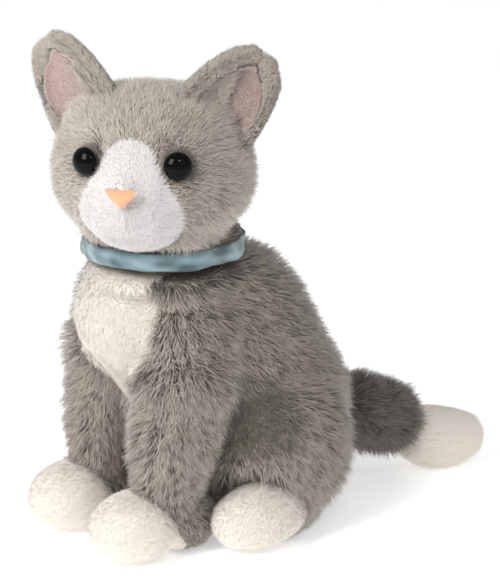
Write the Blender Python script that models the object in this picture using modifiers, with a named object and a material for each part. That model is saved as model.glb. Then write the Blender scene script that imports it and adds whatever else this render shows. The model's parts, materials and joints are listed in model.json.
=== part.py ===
"""A seated plush cat, built as it is sewn: fur-fabric skins, filling, a weighted seat and a ribbon collar.

The frame is in metres with +Z up. The origin is the middle of the flat seat panel that the cat sits on, the
cat faces -Y and its left side is +X. Each limb, ear, tail and the head has a round root that sits in a round
hollow of its neighbour, so that the sewn joint there can flex.
"""

import math

import bpy
import bmesh
from mathutils import Matrix, Vector

# Cloth and clearances
PILE = 0.003  # thickness of a fur-fabric skin, backing and pressed pile together
FELT = 0.0012  # thin cloth: ear linings, seat panel
GAP = 0.0004  # between pieces that touch
FILL_GAP = 0.0006  # between a skin and the filling behind it
SOCKET = 0.0012  # clearance of a round root in its hollow
SEAM = 0.004  # how far one panel reaches under its neighbour

# Torso: (height, middle along Y, half width, half depth), from the neck down to the seat
TORSO_ROWS = (
    (0.145, -0.0380, 0.0370, 0.0410),
    (0.125, -0.0275, 0.0380, 0.0570),
    (0.104, -0.0220, 0.0395, 0.0615),
    (0.084, -0.0105, 0.0400, 0.0565),
    (0.062, 0.0025, 0.0410, 0.0565),
    (0.040, 0.005, 0.042, 0.056),
    (0.016, 0.007, 0.041, 0.051),
    (-0.010, 0.007, 0.037, 0.045),
)
TORSO_TOP = 0.1325
SEAT_MIDDLE = 0.007
SEAT_RADII = (0.0265, 0.036)
POUCH_RADII = (0.0265, 0.0320, 0.0165)
BIB_ROWS = (  # height, half width
    (0.1400, 0.0),
    (0.1395, 0.0255),
    (0.1250, 0.0275),
    (0.1100, 0.0290),
    (0.0980, 0.0285),
    (0.0880, 0.0250),
    (0.0790, 0.0175),
    (0.0715, 0.0095),
    (0.0660, 0.0),
)

# Head, turned to the cat's left on its neck
NECK = Vector((0.0045, -0.040, 0.141))
HEAD_TURN = math.radians(39)
HEAD_FORWARD = 0.014  # middle of the head ahead of the neck
HEAD_HEIGHT = 0.0375  # middle of the head above the neck's turning point
HEAD_RADII = (0.0425, 0.038, 0.0345)
HEAD_BOTTOM = 0.0074  # underside of the head over the collar, above the neck's turning point
COLLAR_ROOM = 0.0385
MUZZLE_OUT = 0.011
NECK_BALL = 0.024
NECK_RADIUS = 0.0340
NECK_SPAN = (-0.0070, 0.0040)
COLLAR_WIDTH = 0.0095
RIBBON = 0.0009

# Face, in the head's own frame: X to its left, -Y forward
EYE_SPREAD = 0.0200
EYE_SHIFT = 0.0010  # both eyes are sewn a little to the left
EYE_HEIGHT = 0.008
EYE_RADIUS = 0.0060
SHANK_RADIUS = 0.0021
SHANK_LENGTH = 0.0125
WASHER_RADIUS = 0.0062
WASHER_DEPTH = 0.0085
NOSE_HEIGHT = -0.0045
NOSE_SIZE = (0.0125, 0.0088)

# White face panel: (height, half width)
FACE_ROWS = (
    (0.0155, 0.0),
    (0.0148, 0.0065),
    (0.0125, 0.0100),
    (0.0085, 0.0120),
    (0.0040, 0.0132),
    (-0.0010, 0.0152),
    (-0.0060, 0.0185),
    (-0.0115, 0.0212),
    (-0.0175, 0.0222),
    (-0.0235, 0.0205),
    (-0.0295, 0.0160),
    (-0.0345, 0.0095),
    (-0.0380, 0.0),
)

# Ears, in the head's own frame
EAR_ROOT = Vector((0.0275, 0.000, 0.0195))
EAR_LENGTH = 0.0395
LEFT_EAR_SHARE = 0.92  # the left ear stands a little lower than the right one
EAR_HALF_WIDTH = 0.0185
EAR_LEAN = math.radians(36)
EAR_TURN = math.radians(14)
EAR_WALL = 0.0032
EAR_FOLD = math.radians(20)  # room left at the root for the ear to fold back

# Front legs: (place, half width, half depth) from the shoulder to the sole, and the paw in front of them
SHOULDER = Vector((0.0275, -0.045, 0.082))
SHOULDER_BALL = 0.0215
LEG_SWING = math.radians(16)  # room left in the chest for the leg to swing forward
FRONT_LEG_ROWS = (
    ((0.0275, -0.0440, 0.1035), 0.0190, 0.0190),
    ((0.0275, -0.0450, 0.0820), 0.0215, 0.0215),
    ((0.0275, -0.0490, 0.0580), 0.0175, 0.0200),
    ((0.0268, -0.0525, 0.0360), 0.0148, 0.0170),
    ((0.0265, -0.0550, 0.0160), 0.0148, 0.0165),
    ((0.0265, -0.0560, 0.0020), 0.0135, 0.0150),
)
FRONT_PAW = Vector((0.0260, -0.0710, 0.0150))
FRONT_PAW_RADII = (0.0165, 0.0205, 0.0150)

# Hind legs
HAUNCH = Vector((0.034, 0.005, 0.038))
HAUNCH_RADII = (0.021, 0.035, 0.038)
ANKLE = Vector((0.046, -0.004, 0.0152))
ANKLE_BALL = 0.0125
ANKLE_SOCKET = 0.0020
HIND_PAW_ROWS = (
    ((0.046, 0.0080, 0.0155), 0.0110, 0.0110),
    ((0.046, -0.0040, 0.0152), 0.0125, 0.0125),
    ((0.047, -0.0220, 0.0145), 0.0152, 0.0145),
    ((0.047, -0.0400, 0.0135), 0.0142, 0.0135),
)

# Tail: (place, radius) from the rump to the tip
TAIL_ROOT = Vector((0.0, 0.056, 0.038))
TAIL_BALL = 0.0130
TAIL_SEAM = Vector((0.006, 0.106, 0.0195))
TAIL_TIP_BALL = 0.0118
TAIL_ROWS = (
    ((0.0000, 0.0430, 0.0385), 0.0125),
    ((0.0000, 0.0560, 0.0380), 0.0130),
    ((0.0015, 0.0720, 0.0345), 0.0128),
    ((0.0035, 0.0890, 0.0270), 0.0125),
    ((0.0060, 0.1060, 0.0195), 0.0122),
)
TAIL_TIP_ROWS = (
    ((0.0045, 0.0955, 0.0235), 0.0110),
    ((0.0060, 0.1060, 0.0195), 0.0118),
    ((0.0090, 0.1220, 0.0150), 0.0138),
    ((0.0130, 0.1430, 0.0140), 0.0138),
)

GREY_FUR = ((0.32, 0.29, 0.27), 0.95)
WHITE_FUR = ((0.86, 0.82, 0.76), 0.95)
PINK_LINING = ((0.80, 0.60, 0.57), 0.9)
PEACH_THREAD = ((0.90, 0.48, 0.25), 0.55)
BLACK_PLASTIC = ((0.010, 0.012, 0.012), 0.06)
CLEAR_PLASTIC = ((0.75, 0.76, 0.74), 0.4)
TEAL_SATIN = ((0.16, 0.37, 0.42), 0.35)
WHITE_FILLING = ((0.88, 0.88, 0.86), 1.0)
POUCH_CLOTH = ((0.55, 0.52, 0.47), 0.9)

SIDES = (("left", 1), ("right", -1))


def clear_scene():
    """Removes whatever the scene holds."""
    for obj in list(bpy.data.objects):
        bpy.data.objects.remove(obj)


def collection(name):
    """A new collection in the scene."""
    made = bpy.data.collections.new(name)
    bpy.context.scene.collection.children.link(made)
    return made


def material(name, colour_and_roughness):
    """A Principled material of one colour, made once."""
    found = bpy.data.materials.get(name)
    if found:
        return found
    colour, roughness = colour_and_roughness
    made = bpy.data.materials.new(name)
    made.use_nodes = True
    shader = made.node_tree.nodes["Principled BSDF"]
    shader.inputs["Base Color"].default_value = (*colour, 1)
    shader.inputs["Roughness"].default_value = roughness
    shader.inputs["Metallic"].default_value = 0
    return made


def add(name, mesh, group, finish=None):
    """Puts a mesh in the scene as a named object, shaded smooth."""
    obj = bpy.data.objects.new(name, mesh)
    group.objects.link(obj)
    mesh.shade_smooth()
    if finish:
        mesh.materials.append(finish)
    return obj


def face_out(bm):
    """Turns a closed surface to face outwards."""
    if bm.calc_volume(signed=True) < 0:
        bmesh.ops.reverse_faces(bm, faces=bm.faces)
    bm.normal_update()


def mesh_from(bm, name, closed=True):
    """A mesh from a bmesh, which is freed."""
    if closed:
        face_out(bm)
    mesh = bpy.data.meshes.new(name)
    bm.to_mesh(mesh)
    bm.free()
    return mesh


def along(rows, share):
    """The row at a share of the way through evenly counted rows, on a smooth curve through them."""
    place = min(max(share, 0), 1) * (len(rows) - 1)
    i = min(int(place), len(rows) - 2)
    t = place - i
    before = rows[max(i - 1, 0)]
    after = rows[min(i + 2, len(rows) - 1)]
    mixed = []
    for p0, p1, p2, p3 in zip(before, rows[i], rows[i + 1], after, strict=True):
        slope1, slope2 = (p2 - p0) / 2, (p3 - p1) / 2
        rest = (2 * t**3 - 3 * t**2 + 1) * p1 + (3 * t**2 - 2 * t**3) * p2
        mixed.append(rest + (t**3 - 2 * t**2 + t) * slope1 + (t**3 - t**2) * slope2)
    return mixed


def form(rows, segments, rings, bluntness, level=False, inset=0.0, floor=0.0):
    """A closed soft form: a sphere whose rings are moved to lie along rows of (x, y, z, half width, half depth).

    A low bluntness gives fuller ends. With level, the rings stay horizontal. What would be below the floor is
    pressed flat on it, and inset moves the whole surface inwards.
    """
    bm = bmesh.new()
    bmesh.ops.create_uvsphere(bm, u_segments=segments, v_segments=rings, radius=1)
    for vert in bm.verts:
        height = max(-1, min(1, vert.co.z))
        around = math.atan2(vert.co.y, vert.co.x)
        polar = math.acos(height)
        x, y, z, wide, deep = along(rows, polar / math.pi)
        tangent = Vector((0, 0, -1))
        if not level:
            ahead = Vector(along(rows, polar / math.pi + 0.02)[:3])
            behind = Vector(along(rows, polar / math.pi - 0.02)[:3])
            tangent = (ahead - behind).normalized()
        side = (Vector((1, 0, 0)) - tangent * tangent.x).normalized()
        front = side.cross(tangent)
        full = max(math.sin(polar), 0) ** bluntness
        vert.co = Vector((x, y, z)) + (side * wide * math.cos(around) + front * deep * math.sin(around)) * full
    return pressed(bm, inset, floor)


def pressed(bm, inset, floor):
    """The mesh of a bmesh pressed flat on the floor and then moved inwards."""
    if floor is not None:
        for vert in bm.verts:
            vert.co.z = max(vert.co.z, floor)
    if inset:
        face_out(bm)
        for vert, move in [(vert, vert.normal * inset) for vert in bm.verts]:
            vert.co -= move
    return mesh_from(bm, "form")


def ball(centre, radii, segments, rings, inset=0.0, floor=None):
    """A closed ellipsoid, pressed flat on the floor where it would be below it."""
    bm = bmesh.new()
    bmesh.ops.create_uvsphere(bm, u_segments=segments, v_segments=rings, radius=1)
    for vert in bm.verts:
        vert.co = Vector(c + r * u for c, r, u in zip(centre, radii, vert.co, strict=True))
    return pressed(bm, inset, floor)


def solidify(obj, thickness):
    """Gives an open or closed surface a wall on its inside."""
    wall = obj.modifiers.new("wall", "SOLIDIFY")
    wall.thickness = thickness
    wall.offset = -1
    wall.use_even_offset = True
    return wall


def boolean(obj, cutter, operation="DIFFERENCE"):
    """Cuts obj by cutter, or keeps what they share."""
    cut = obj.modifiers.new(cutter.name, "BOOLEAN")
    cut.operation = operation
    cut.object = cutter
    cut.solver = "EXACT"


def as_cutter(obj):
    """Marks an object as a helper that is not part of the cat."""
    obj.hide_render = True
    obj.display_type = "WIRE"
    return obj


def cutter_ball(name, centre, radius, helpers, segments=14):
    """A round cutter."""
    return as_cutter(add(name, ball(centre, (radius,) * 3, segments, segments // 2 + 2), helpers))


def cutter_box(name, low, high, helpers):
    """A box cutter between two corners."""
    bm = bmesh.new()
    bmesh.ops.create_cube(bm, size=1)
    for vert in bm.verts:
        vert.co = Vector(a + (b - a) * (u + 0.5) for a, b, u in zip(low, high, vert.co, strict=True))
    return as_cutter(add(name, mesh_from(bm, name), helpers))


def cylinder(radius, length, segments=16):
    """A capped cylinder along Z, standing on z = 0."""
    bm = bmesh.new()
    bmesh.ops.create_cone(bm, cap_ends=True, segments=segments, radius1=radius, radius2=radius, depth=length)
    bmesh.ops.translate(bm, verts=bm.verts, vec=(0, 0, length / 2))
    return mesh_from(bm, "cylinder")


def prism(outline, depth, name, helpers):
    """A cutter with a rounded outline in the XZ plane, from y = -depth to y = 0."""
    bm = bmesh.new()
    verts = [bm.verts.new((x, 0, z)) for x, z in outline]
    face = bm.faces.new(verts)
    made = bmesh.ops.extrude_face_region(bm, geom=[face])
    moved = [g for g in made["geom"] if isinstance(g, bmesh.types.BMVert)]
    bmesh.ops.translate(bm, verts=moved, vec=(0, -depth, 0))
    return as_cutter(add(name, mesh_from(bm, name), helpers))


def head_frame():
    """The head's own frame: its middle, turned on the neck."""
    turn = Matrix.Rotation(HEAD_TURN, 4, "Z")
    middle = NECK + turn @ Vector((0, -HEAD_FORWARD, HEAD_HEIGHT))
    return Matrix.Translation(middle) @ turn


def muzzle_swell(direction):
    """How far the face stands out at a direction from the head's middle."""
    out = Vector((0, -0.89, -0.45)).normalized()
    along_out = max(0, direction.dot(out))
    return MUZZLE_OUT * along_out**7


def head_surface(inset=0.0):
    """The head with its muzzle and cheeks, in its own frame. A negative inset gives a room around it."""
    bm = bmesh.new()
    bmesh.ops.create_uvsphere(bm, u_segments=22, v_segments=14, radius=1)
    for vert in bm.verts:
        direction = vert.co.normalized()
        cheek = 0.0022 * math.exp(-((direction.z + 0.35) ** 2) / 0.12) * abs(direction.x) ** 2
        point = Vector(r * u for r, u in zip(HEAD_RADII, direction, strict=True))
        vert.co = point + direction * (muzzle_swell(direction) + cheek)
        vert.co.z -= 0.0028 * max(0, -direction.z)
    return pressed(bm, inset, None)


def face_outline(grow=0.0):
    """The white face panel seen from the front: a narrow blaze between the eyes that widens over the muzzle."""
    right = [(0, FACE_ROWS[0][0] + grow)]
    for height, half in FACE_ROWS[1:-1]:
        right.append((half + grow, height))
    right.append((0, FACE_ROWS[-1][0] - grow))
    return right + [(-x, z) for x, z in reversed(right[1:-1])]


def bib_outline(grow=0.0):
    """The white chest panel seen from the front: wide at the collar, pointed between the legs."""
    right = [(0, BIB_ROWS[0][0] + grow)]
    for height, half in BIB_ROWS[1:-1]:
        right.append((half + grow, height))
    right.append((0, BIB_ROWS[-1][0] - grow))
    return right + [(-x, z) for x, z in reversed(right[1:-1])]


def ear_surface(width_share, length_share, lift):
    """A cupped, round-tipped ear, open towards -Y, standing on its root at the origin."""
    bm = bmesh.new()
    bmesh.ops.create_grid(bm, x_segments=8, y_segments=7, size=1)
    for vert in bm.verts:
        across, up = vert.co.x, (vert.co.y + 1) / 2
        taper = (1 - up**2.8) ** 0.5
        half = EAR_HALF_WIDTH * width_share * max(taper * (1 - 0.12 * up), 0.16)
        bend = across * 1.05
        x = half * math.sin(bend) / math.sin(1.05)
        cup = half * 0.85 * (1 - math.cos(bend))
        tip_drop = 0.05 * EAR_LENGTH * across**2 * up
        vert.co = Vector((x, -cup - lift, EAR_LENGTH * length_share * up - tip_drop + 0.001))
    bm.normal_update()
    if sum(face.normal.y for face in bm.faces) < 0:
        bmesh.ops.reverse_faces(bm, faces=bm.faces)
    mesh = bpy.data.meshes.new("ear")
    bm.to_mesh(mesh)
    bm.free()
    return mesh


def place(obj, matrix):
    """Sets where an object stands."""
    obj.matrix_world = matrix
    return obj


def build_torso(cat, helpers):
    """The body: grey skin, white chest panel, seat panel, filling and the weighted pouch in the rump."""
    rows = [(0, y, z, wide, deep) for z, y, wide, deep in TORSO_ROWS]
    fills = material("filling", WHITE_FILLING)
    bib_cut = prism(bib_outline(), 0.2, "bib_cut", helpers)
    bib_hole = prism(bib_outline(GAP), 0.2, "bib_hole", helpers)
    for cutter in (bib_cut, bib_hole):
        cutter.location.y = -0.045
    span = cutter_box("body_span", (-0.1, -0.15, FELT + GAP), (0.1, 0.15, TORSO_TOP), helpers)
    filling_span = cutter_box("filling_span", (-0.1, -0.15, 0.0022), (0.1, 0.15, TORSO_TOP - 0.001), helpers)

    skin = add("torso_skin", form(rows, 18, 12, 0.25, level=True), cat, material("grey_fur", GREY_FUR))
    bib = add("chest_bib", form(rows, 18, 12, 0.25, level=True), cat, material("white_fur", WHITE_FUR))
    filling = add("torso_filling", form(rows, 18, 12, 0.25, level=True, inset=PILE + FILL_GAP), cat, fills)
    for piece in (skin, bib):
        solidify(piece, PILE)
        boolean(piece, span, "INTERSECT")
    seat_hole = as_cutter(add("seat_hole", cylinder(1, 0.025, 28), helpers))
    seat_hole.data.transform(Matrix.Diagonal((SEAT_RADII[0] - SEAM, SEAT_RADII[1] - SEAM, 1, 1)))
    seat_hole.location = (0, SEAT_MIDDLE, -0.01)
    boolean(skin, seat_hole)
    boolean(skin, bib_hole)
    boolean(bib, bib_cut, "INTERSECT")
    boolean(filling, filling_span, "INTERSECT")
    for piece in (skin, bib, filling):
        for room in torso_rooms(helpers):
            boolean(piece, room)

    pouch_place = (0, SEAT_MIDDLE, 0.0215)
    pouch_room = as_cutter(add("pouch_room", ball(pouch_place, [r + 0.001 for r in POUCH_RADII], 16, 10), helpers))
    mouth = as_cutter(add("pouch_mouth", cylinder(0.016, 0.02), helpers))
    mouth.location = (0, SEAT_MIDDLE, -0.01)
    boolean(filling, pouch_room)
    boolean(filling, mouth)
    add("pellet_pouch", ball(pouch_place, POUCH_RADII, 16, 10), cat, material("pouch_cloth", POUCH_CLOTH))
    seat = add("seat_panel", cylinder(1, FELT, 28), cat, material("grey_fur", GREY_FUR))
    seat.data.transform(Matrix.Diagonal((*SEAT_RADII, 1, 1)))
    seat.location.y = SEAT_MIDDLE


def torso_rooms(helpers):
    """The hollows in the body for the neck, the front legs and the tail."""
    found = [obj for obj in helpers.objects if obj.name.startswith("body_room")]
    if found:
        return found
    rooms = [cutter_ball("body_room_neck", NECK, NECK_BALL + SOCKET, helpers, 18)]
    rooms.append(cutter_ball("body_room_tail", TAIL_ROOT, TAIL_BALL + SOCKET, helpers))
    rooms.append(cutter_ball("body_room_tail_mouth", TAIL_ROOT + Vector((0, 0.016, -0.004)), 0.019, helpers))
    for name, side in SIDES:
        shoulder = Vector((side * SHOULDER.x, SHOULDER.y, SHOULDER.z))
        rooms.append(cutter_ball(f"body_room_{name}_shoulder", shoulder, SHOULDER_BALL + SOCKET, helpers))
        rows = []
        for (x, y, z), wide, deep in FRONT_LEG_ROWS:
            swept = max(0, SHOULDER.z - z) * math.tan(LEG_SWING) / 2
            rows.append((side * x, y - swept, z, wide + 0.001, deep + swept + 0.001))
        leg = form(rows, 12, 12, 0.4, level=True, inset=-SOCKET, floor=None)
        rooms.append(as_cutter(add(f"body_room_{name}_leg", leg, helpers)))
    return rooms


def build_neck(cat, helpers):
    """The short neck: fur skin, a filling with a round end above and below, and the ribbon round it."""
    low, high = NECK_SPAN
    skin = add("neck_skin", cylinder(NECK_RADIUS, high - low, 24), cat, material("grey_fur", GREY_FUR))
    skin.location = NECK + Vector((0, 0, low))
    bore = as_cutter(add("neck_bore", cylinder(NECK_RADIUS - PILE, 0.04, 24), helpers))
    bore.location = NECK + Vector((0, 0, -0.02))
    boolean(skin, bore)
    core = add("neck_filling", ball(NECK, (NECK_BALL,) * 3, 18, 11), cat, material("filling", WHITE_FILLING))
    width = NECK_RADIUS - PILE - FILL_GAP
    flange = as_cutter(add("neck_flange", cylinder(width, high - low, 24), helpers))
    flange.location = skin.location
    boolean(core, flange, "UNION")

    band = bmesh.new()
    bmesh.ops.create_circle(band, segments=32, radius=NECK_RADIUS + GAP + RIBBON)
    made = bmesh.ops.extrude_edge_only(band, edges=band.edges)
    bmesh.ops.recalc_face_normals(band, faces=band.faces)
    moved = [g for g in made["geom"] if isinstance(g, bmesh.types.BMVert)]
    bmesh.ops.translate(band, verts=moved, vec=(0, 0, COLLAR_WIDTH))
    ribbon = add("ribbon_collar", mesh_from(band, "ribbon", closed=False), cat, material("teal_satin", TEAL_SATIN))
    ribbon.location = NECK + Vector((0, 0, low + 0.0008))
    solidify(ribbon, RIBBON)


def build_head(cat, helpers):
    """The head: grey skin, white face panel and filling, open below for the neck."""
    here = head_frame()
    face_cut = place(prism(face_outline(), 0.1, "face_cut", helpers), here)
    face_hole = place(prism(face_outline(GAP), 0.1, "face_hole", helpers), here)
    hollow = cutter_ball("head_hollow", NECK, NECK_BALL + SOCKET, helpers, 18)
    collar_room = as_cutter(add("collar_room", cylinder(COLLAR_ROOM, 0.04, 32), helpers))
    collar_room.location = NECK + Vector((0, 0, HEAD_BOTTOM - 0.04))
    skin = place(add("head_skin", head_surface(), cat, material("grey_fur", GREY_FUR)), here)
    face = place(add("face_panel", head_surface(), cat, material("white_fur", WHITE_FUR)), here)
    filling = head_surface(PILE + FILL_GAP)
    filling = place(add("head_filling", filling, cat, material("filling", WHITE_FILLING)), here)
    for piece in (skin, face):
        solidify(piece, PILE)
    boolean(skin, face_hole)
    boolean(face, face_cut, "INTERSECT")
    for piece in (skin, face, filling):
        boolean(piece, collar_room)
        boolean(piece, hollow)
    return skin, face, filling


def face_point(x, z):
    """The point of the head's surface at a width and height of the face, in the head's frame."""
    depth = HEAD_RADII[1]
    for _ in range(40):
        direction = Vector((x, -depth, z)).normalized()
        scaled = Vector(u / r for u, r in zip(direction, HEAD_RADII, strict=True))
        reach = 1 / scaled.length + muzzle_swell(direction)
        depth += 0.5 * (math.sqrt(max(reach**2 - x * x - z * z, 1e-8)) - depth)
    return Vector((x, -depth, z))


def build_face(cat, helpers, skin, face, filling):
    """The eyes with their shanks and washers, and the embroidered nose."""
    here = head_frame()
    black, clear = material("black_plastic", BLACK_PLASTIC), material("clear_plastic", CLEAR_PLASTIC)
    for name, side in SIDES:
        point = face_point(side * EYE_SPREAD + EYE_SHIFT, EYE_HEIGHT)
        out = Vector((side * 0.42, -1, 0.10)).normalized()
        seat = here @ Matrix.Translation(point + out * 0.0018) @ out.to_track_quat("Z", "Y").to_matrix().to_4x4()
        dome = bmesh.new()
        bmesh.ops.create_uvsphere(dome, u_segments=16, v_segments=10, radius=EYE_RADIUS)
        for vert in dome.verts:
            vert.co.z *= 0.62 if vert.co.z > 0 else 0.12
        eye = place(add(f"{name}_eye", mesh_from(dome, "eye"), cat, black), seat)
        shank = as_cutter(add(f"{name}_shank", cylinder(SHANK_RADIUS, SHANK_LENGTH, 12), helpers))
        place(shank, seat @ Matrix.Translation((0, 0, 0.0005 - SHANK_LENGTH)))
        boolean(eye, shank, "UNION")
        washer = place(add(f"{name}_eye_washer", cylinder(WASHER_RADIUS, 0.0014, 20), cat, clear), seat)
        washer.matrix_world = seat @ Matrix.Translation((0, 0, -WASHER_DEPTH - 0.0014))
        bore = as_cutter(add(f"{name}_shank_bore", cylinder(SHANK_RADIUS + 0.0003, 0.02, 12), helpers))
        place(bore, seat @ Matrix.Translation((0, 0, -0.0184)))
        boolean(washer, bore)
        eye_room = as_cutter(add(f"{name}_eye_room", cylinder(EYE_RADIUS + GAP, 0.02, 16), helpers))
        place(eye_room, seat @ Matrix.Translation((0, 0, -0.0011)))
        washer_room = as_cutter(add(f"{name}_washer_room", cylinder(WASHER_RADIUS + 0.0006, 0.018, 20), helpers))
        place(washer_room, seat @ Matrix.Translation((0, 0, -WASHER_DEPTH - 0.0060)))
        for piece in (skin, face):
            boolean(piece, bore)
            boolean(piece, eye_room)
        boolean(filling, washer_room)

    wide, high = NOSE_SIZE
    corners = ((-0.5, 0.32), (-0.36, 0.5), (0.36, 0.5), (0.5, 0.32), (0.08, -0.46), (-0.08, -0.46))
    outline = bmesh.new()
    outline.faces.new([outline.verts.new((x * wide, 0, z * high)) for x, z in corners])
    made = bmesh.ops.extrude_face_region(outline, geom=list(outline.faces))
    moved = [g for g in made["geom"] if isinstance(g, bmesh.types.BMVert)]
    bmesh.ops.translate(outline, verts=moved, vec=(0, -0.0014, 0))
    nose = add("nose_embroidery", mesh_from(outline, "nose"), cat, material("peach_thread", PEACH_THREAD))
    place(nose, here @ Matrix.Translation(face_point(0, NOSE_HEIGHT) + Vector((0, -0.0010, 0))))


def ear_frame(side):
    """Where an ear stands: on its root, leaning out and turned a little to the side."""
    lean = Matrix.Rotation(side * EAR_LEAN, 4, "Y")
    turn = Matrix.Rotation(side * EAR_TURN, 4, "Z")
    root = Vector((side * EAR_ROOT.x, EAR_ROOT.y, EAR_ROOT.z))
    return head_frame() @ Matrix.Translation(root) @ turn @ lean


def build_ears(cat, helpers):
    """Each ear: a grey cupped outer and a pink lining in front of it, both ending at the head's skin."""
    for name, side in SIDES:
        here = ear_frame(side)
        tall = LEFT_EAR_SHARE if side > 0 else 1.0
        rooms = []
        for step, fold in enumerate((0, EAR_FOLD / 2, EAR_FOLD)):
            folded = here @ Matrix.Rotation(fold, 4, "X") @ here.inverted()
            room = as_cutter(add(f"{name}_head_room_{step}", head_surface(-GAP), helpers))
            rooms.append(place(room, folded @ head_frame()))
        outer = place(add(f"{name}_ear", ear_surface(1.0, tall, 0), cat, material("grey_fur", GREY_FUR)), here)
        solidify(outer, EAR_WALL).offset = 1
        lining = ear_surface(0.82, 0.86 * tall, GAP)
        lining = place(add(f"{name}_ear_lining", lining, cat, material("pink_lining", PINK_LINING)), here)
        solidify(lining, FELT)
        for piece in (outer, lining):
            for room in rooms:
                boolean(piece, room)


def build_front_legs(cat, helpers):
    """Each front leg: grey skin down to the sole, a white paw in front of it and one filling for both."""
    fills = material("filling", WHITE_FILLING)
    for name, side in SIDES:
        rows = [(side * x, y, z, wide, deep) for (x, y, z), wide, deep in FRONT_LEG_ROWS]
        toes = (side * FRONT_PAW.x, FRONT_PAW.y, FRONT_PAW.z)
        leg = add(f"{name}_front_leg_skin", form(rows, 12, 12, 0.4, level=True), cat, material("grey_fur", GREY_FUR))
        paw = ball(toes, FRONT_PAW_RADII, 14, 9, floor=0.0)
        paw = add(f"{name}_front_paw_skin", paw, cat, material("white_fur", WHITE_FUR))
        paw_room = ball(toes, FRONT_PAW_RADII, 14, 9, inset=-GAP, floor=None)
        paw_room = as_cutter(add(f"{name}_paw_room", paw_room, helpers))
        leg_core = form(rows, 12, 12, 0.4, level=True, inset=PILE + FILL_GAP - GAP)
        leg_core = as_cutter(add(f"{name}_leg_core", leg_core, helpers))
        for piece, room in ((leg, paw_room), (paw, leg_core)):
            solidify(piece, PILE)
            boolean(piece, room)
        filling = form(rows, 12, 12, 0.4, level=True, inset=PILE + FILL_GAP)
        filling = add(f"{name}_front_leg_filling", filling, cat, fills)
        toe_filling = ball(toes, FRONT_PAW_RADII, 14, 9, inset=PILE + FILL_GAP, floor=0.0)
        boolean(filling, as_cutter(add(f"{name}_toe_filling", toe_filling, helpers)), "UNION")


def build_hind_legs(cat, helpers):
    """Each hind leg: a haunch sewn against the body and a paw that flexes at the ankle."""
    rows = [(0, y, z, wide, deep) for z, y, wide, deep in TORSO_ROWS]
    body = form(rows, 18, 12, 0.25, level=True, inset=-GAP, floor=None)
    body_room = as_cutter(add("haunch_room", body, helpers))
    heel_span = cutter_box("heel_span", (-0.1, -0.1, -0.01), (0.1, ANKLE.y + 0.006, 0.1), helpers)
    fills = material("filling", WHITE_FILLING)
    for name, side in SIDES:
        centre = Vector((side * HAUNCH.x, HAUNCH.y, HAUNCH.z))
        ankle = Vector((side * ANKLE.x, ANKLE.y, ANKLE.z))
        hollow = cutter_ball(f"{name}_ankle_hollow", ankle, ANKLE_BALL + ANKLE_SOCKET, helpers)
        toe_room = cutter_ball(f"{name}_toe_room", ankle + Vector((0, -0.018, 0.002)), 0.0195, helpers)
        skin = add(f"{name}_haunch_skin", ball(centre, HAUNCH_RADII, 18, 12, floor=0.0), cat)
        skin.data.materials.append(material("grey_fur", GREY_FUR))
        solidify(skin, PILE)
        filling = ball(centre, HAUNCH_RADII, 18, 12, inset=PILE + FILL_GAP, floor=0.0)
        filling = add(f"{name}_haunch_filling", filling, cat, fills)
        for piece in (skin, filling):
            for room in (body_room, hollow, toe_room):
                boolean(piece, room)
        paw_rows = [(side * x, y, z, wide, deep) for (x, y, z), wide, deep in HIND_PAW_ROWS]
        paw = add(f"{name}_hind_paw_skin", form(paw_rows, 12, 9, 0.45), cat, material("white_fur", WHITE_FUR))
        solidify(paw, PILE)
        boolean(paw, heel_span, "INTERSECT")
        stuffing = form(paw_rows, 12, 9, 0.45, inset=PILE + FILL_GAP)
        add(f"{name}_hind_paw_filling", stuffing, cat, fills)


def build_tail(cat, helpers):
    """The tail: a grey length rooted in the rump and a white tip rooted in the end of that length."""
    hollow = cutter_ball("tail_seam_hollow", TAIL_SEAM, TAIL_TIP_BALL + SOCKET, helpers)
    root_span = cutter_box("tail_span", (-0.1, TAIL_ROOT.y - 0.006, -0.1), (0.1, 0.2, 0.1), helpers)
    tip_span = cutter_box("tail_tip_span", (-0.1, TAIL_SEAM.y - 0.005, -0.1), (0.1, 0.2, 0.1), helpers)
    fills = material("filling", WHITE_FILLING)
    for name, rows, colour, span in (
        ("tail", TAIL_ROWS, material("grey_fur", GREY_FUR), root_span),
        ("tail_tip", TAIL_TIP_ROWS, material("white_fur", WHITE_FUR), tip_span),
    ):
        stations = [(*middle, radius, radius) for middle, radius in rows]
        skin = add(f"{name}_skin", form(stations, 12, 10, 0.45), cat, colour)
        solidify(skin, PILE)
        boolean(skin, span, "INTERSECT")
        filling = add(f"{name}_filling", form(stations, 12, 10, 0.45, inset=PILE + FILL_GAP), cat, fills)
        if name == "tail":
            boolean(skin, hollow)
            boolean(filling, hollow)


def main():
    """Builds the cat."""
    clear_scene()
    cat, helpers = collection("plush_cat"), collection("cutters")
    build_torso(cat, helpers)
    build_neck(cat, helpers)
    build_face(cat, helpers, *build_head(cat, helpers))
    build_ears(cat, helpers)
    build_front_legs(cat, helpers)
    build_hind_legs(cat, helpers)
    build_tail(cat, helpers)


main()
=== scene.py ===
"""The looks of the seated plush cat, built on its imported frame.

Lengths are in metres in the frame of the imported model: +Z is up, the cat faces -Y and its left side is +X.
Each stuffed form is a cloth skin with a pile of tapered strands standing on it, combed as fur fabric is.
"""

import json
import logging
import math
from collections.abc import Callable
from dataclasses import dataclass, field
from enum import Enum

import bpy
import numpy as np
from mathutils import Matrix, Vector
from mathutils.bvhtree import BVHTree
from mathutils.kdtree import KDTree


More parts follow.
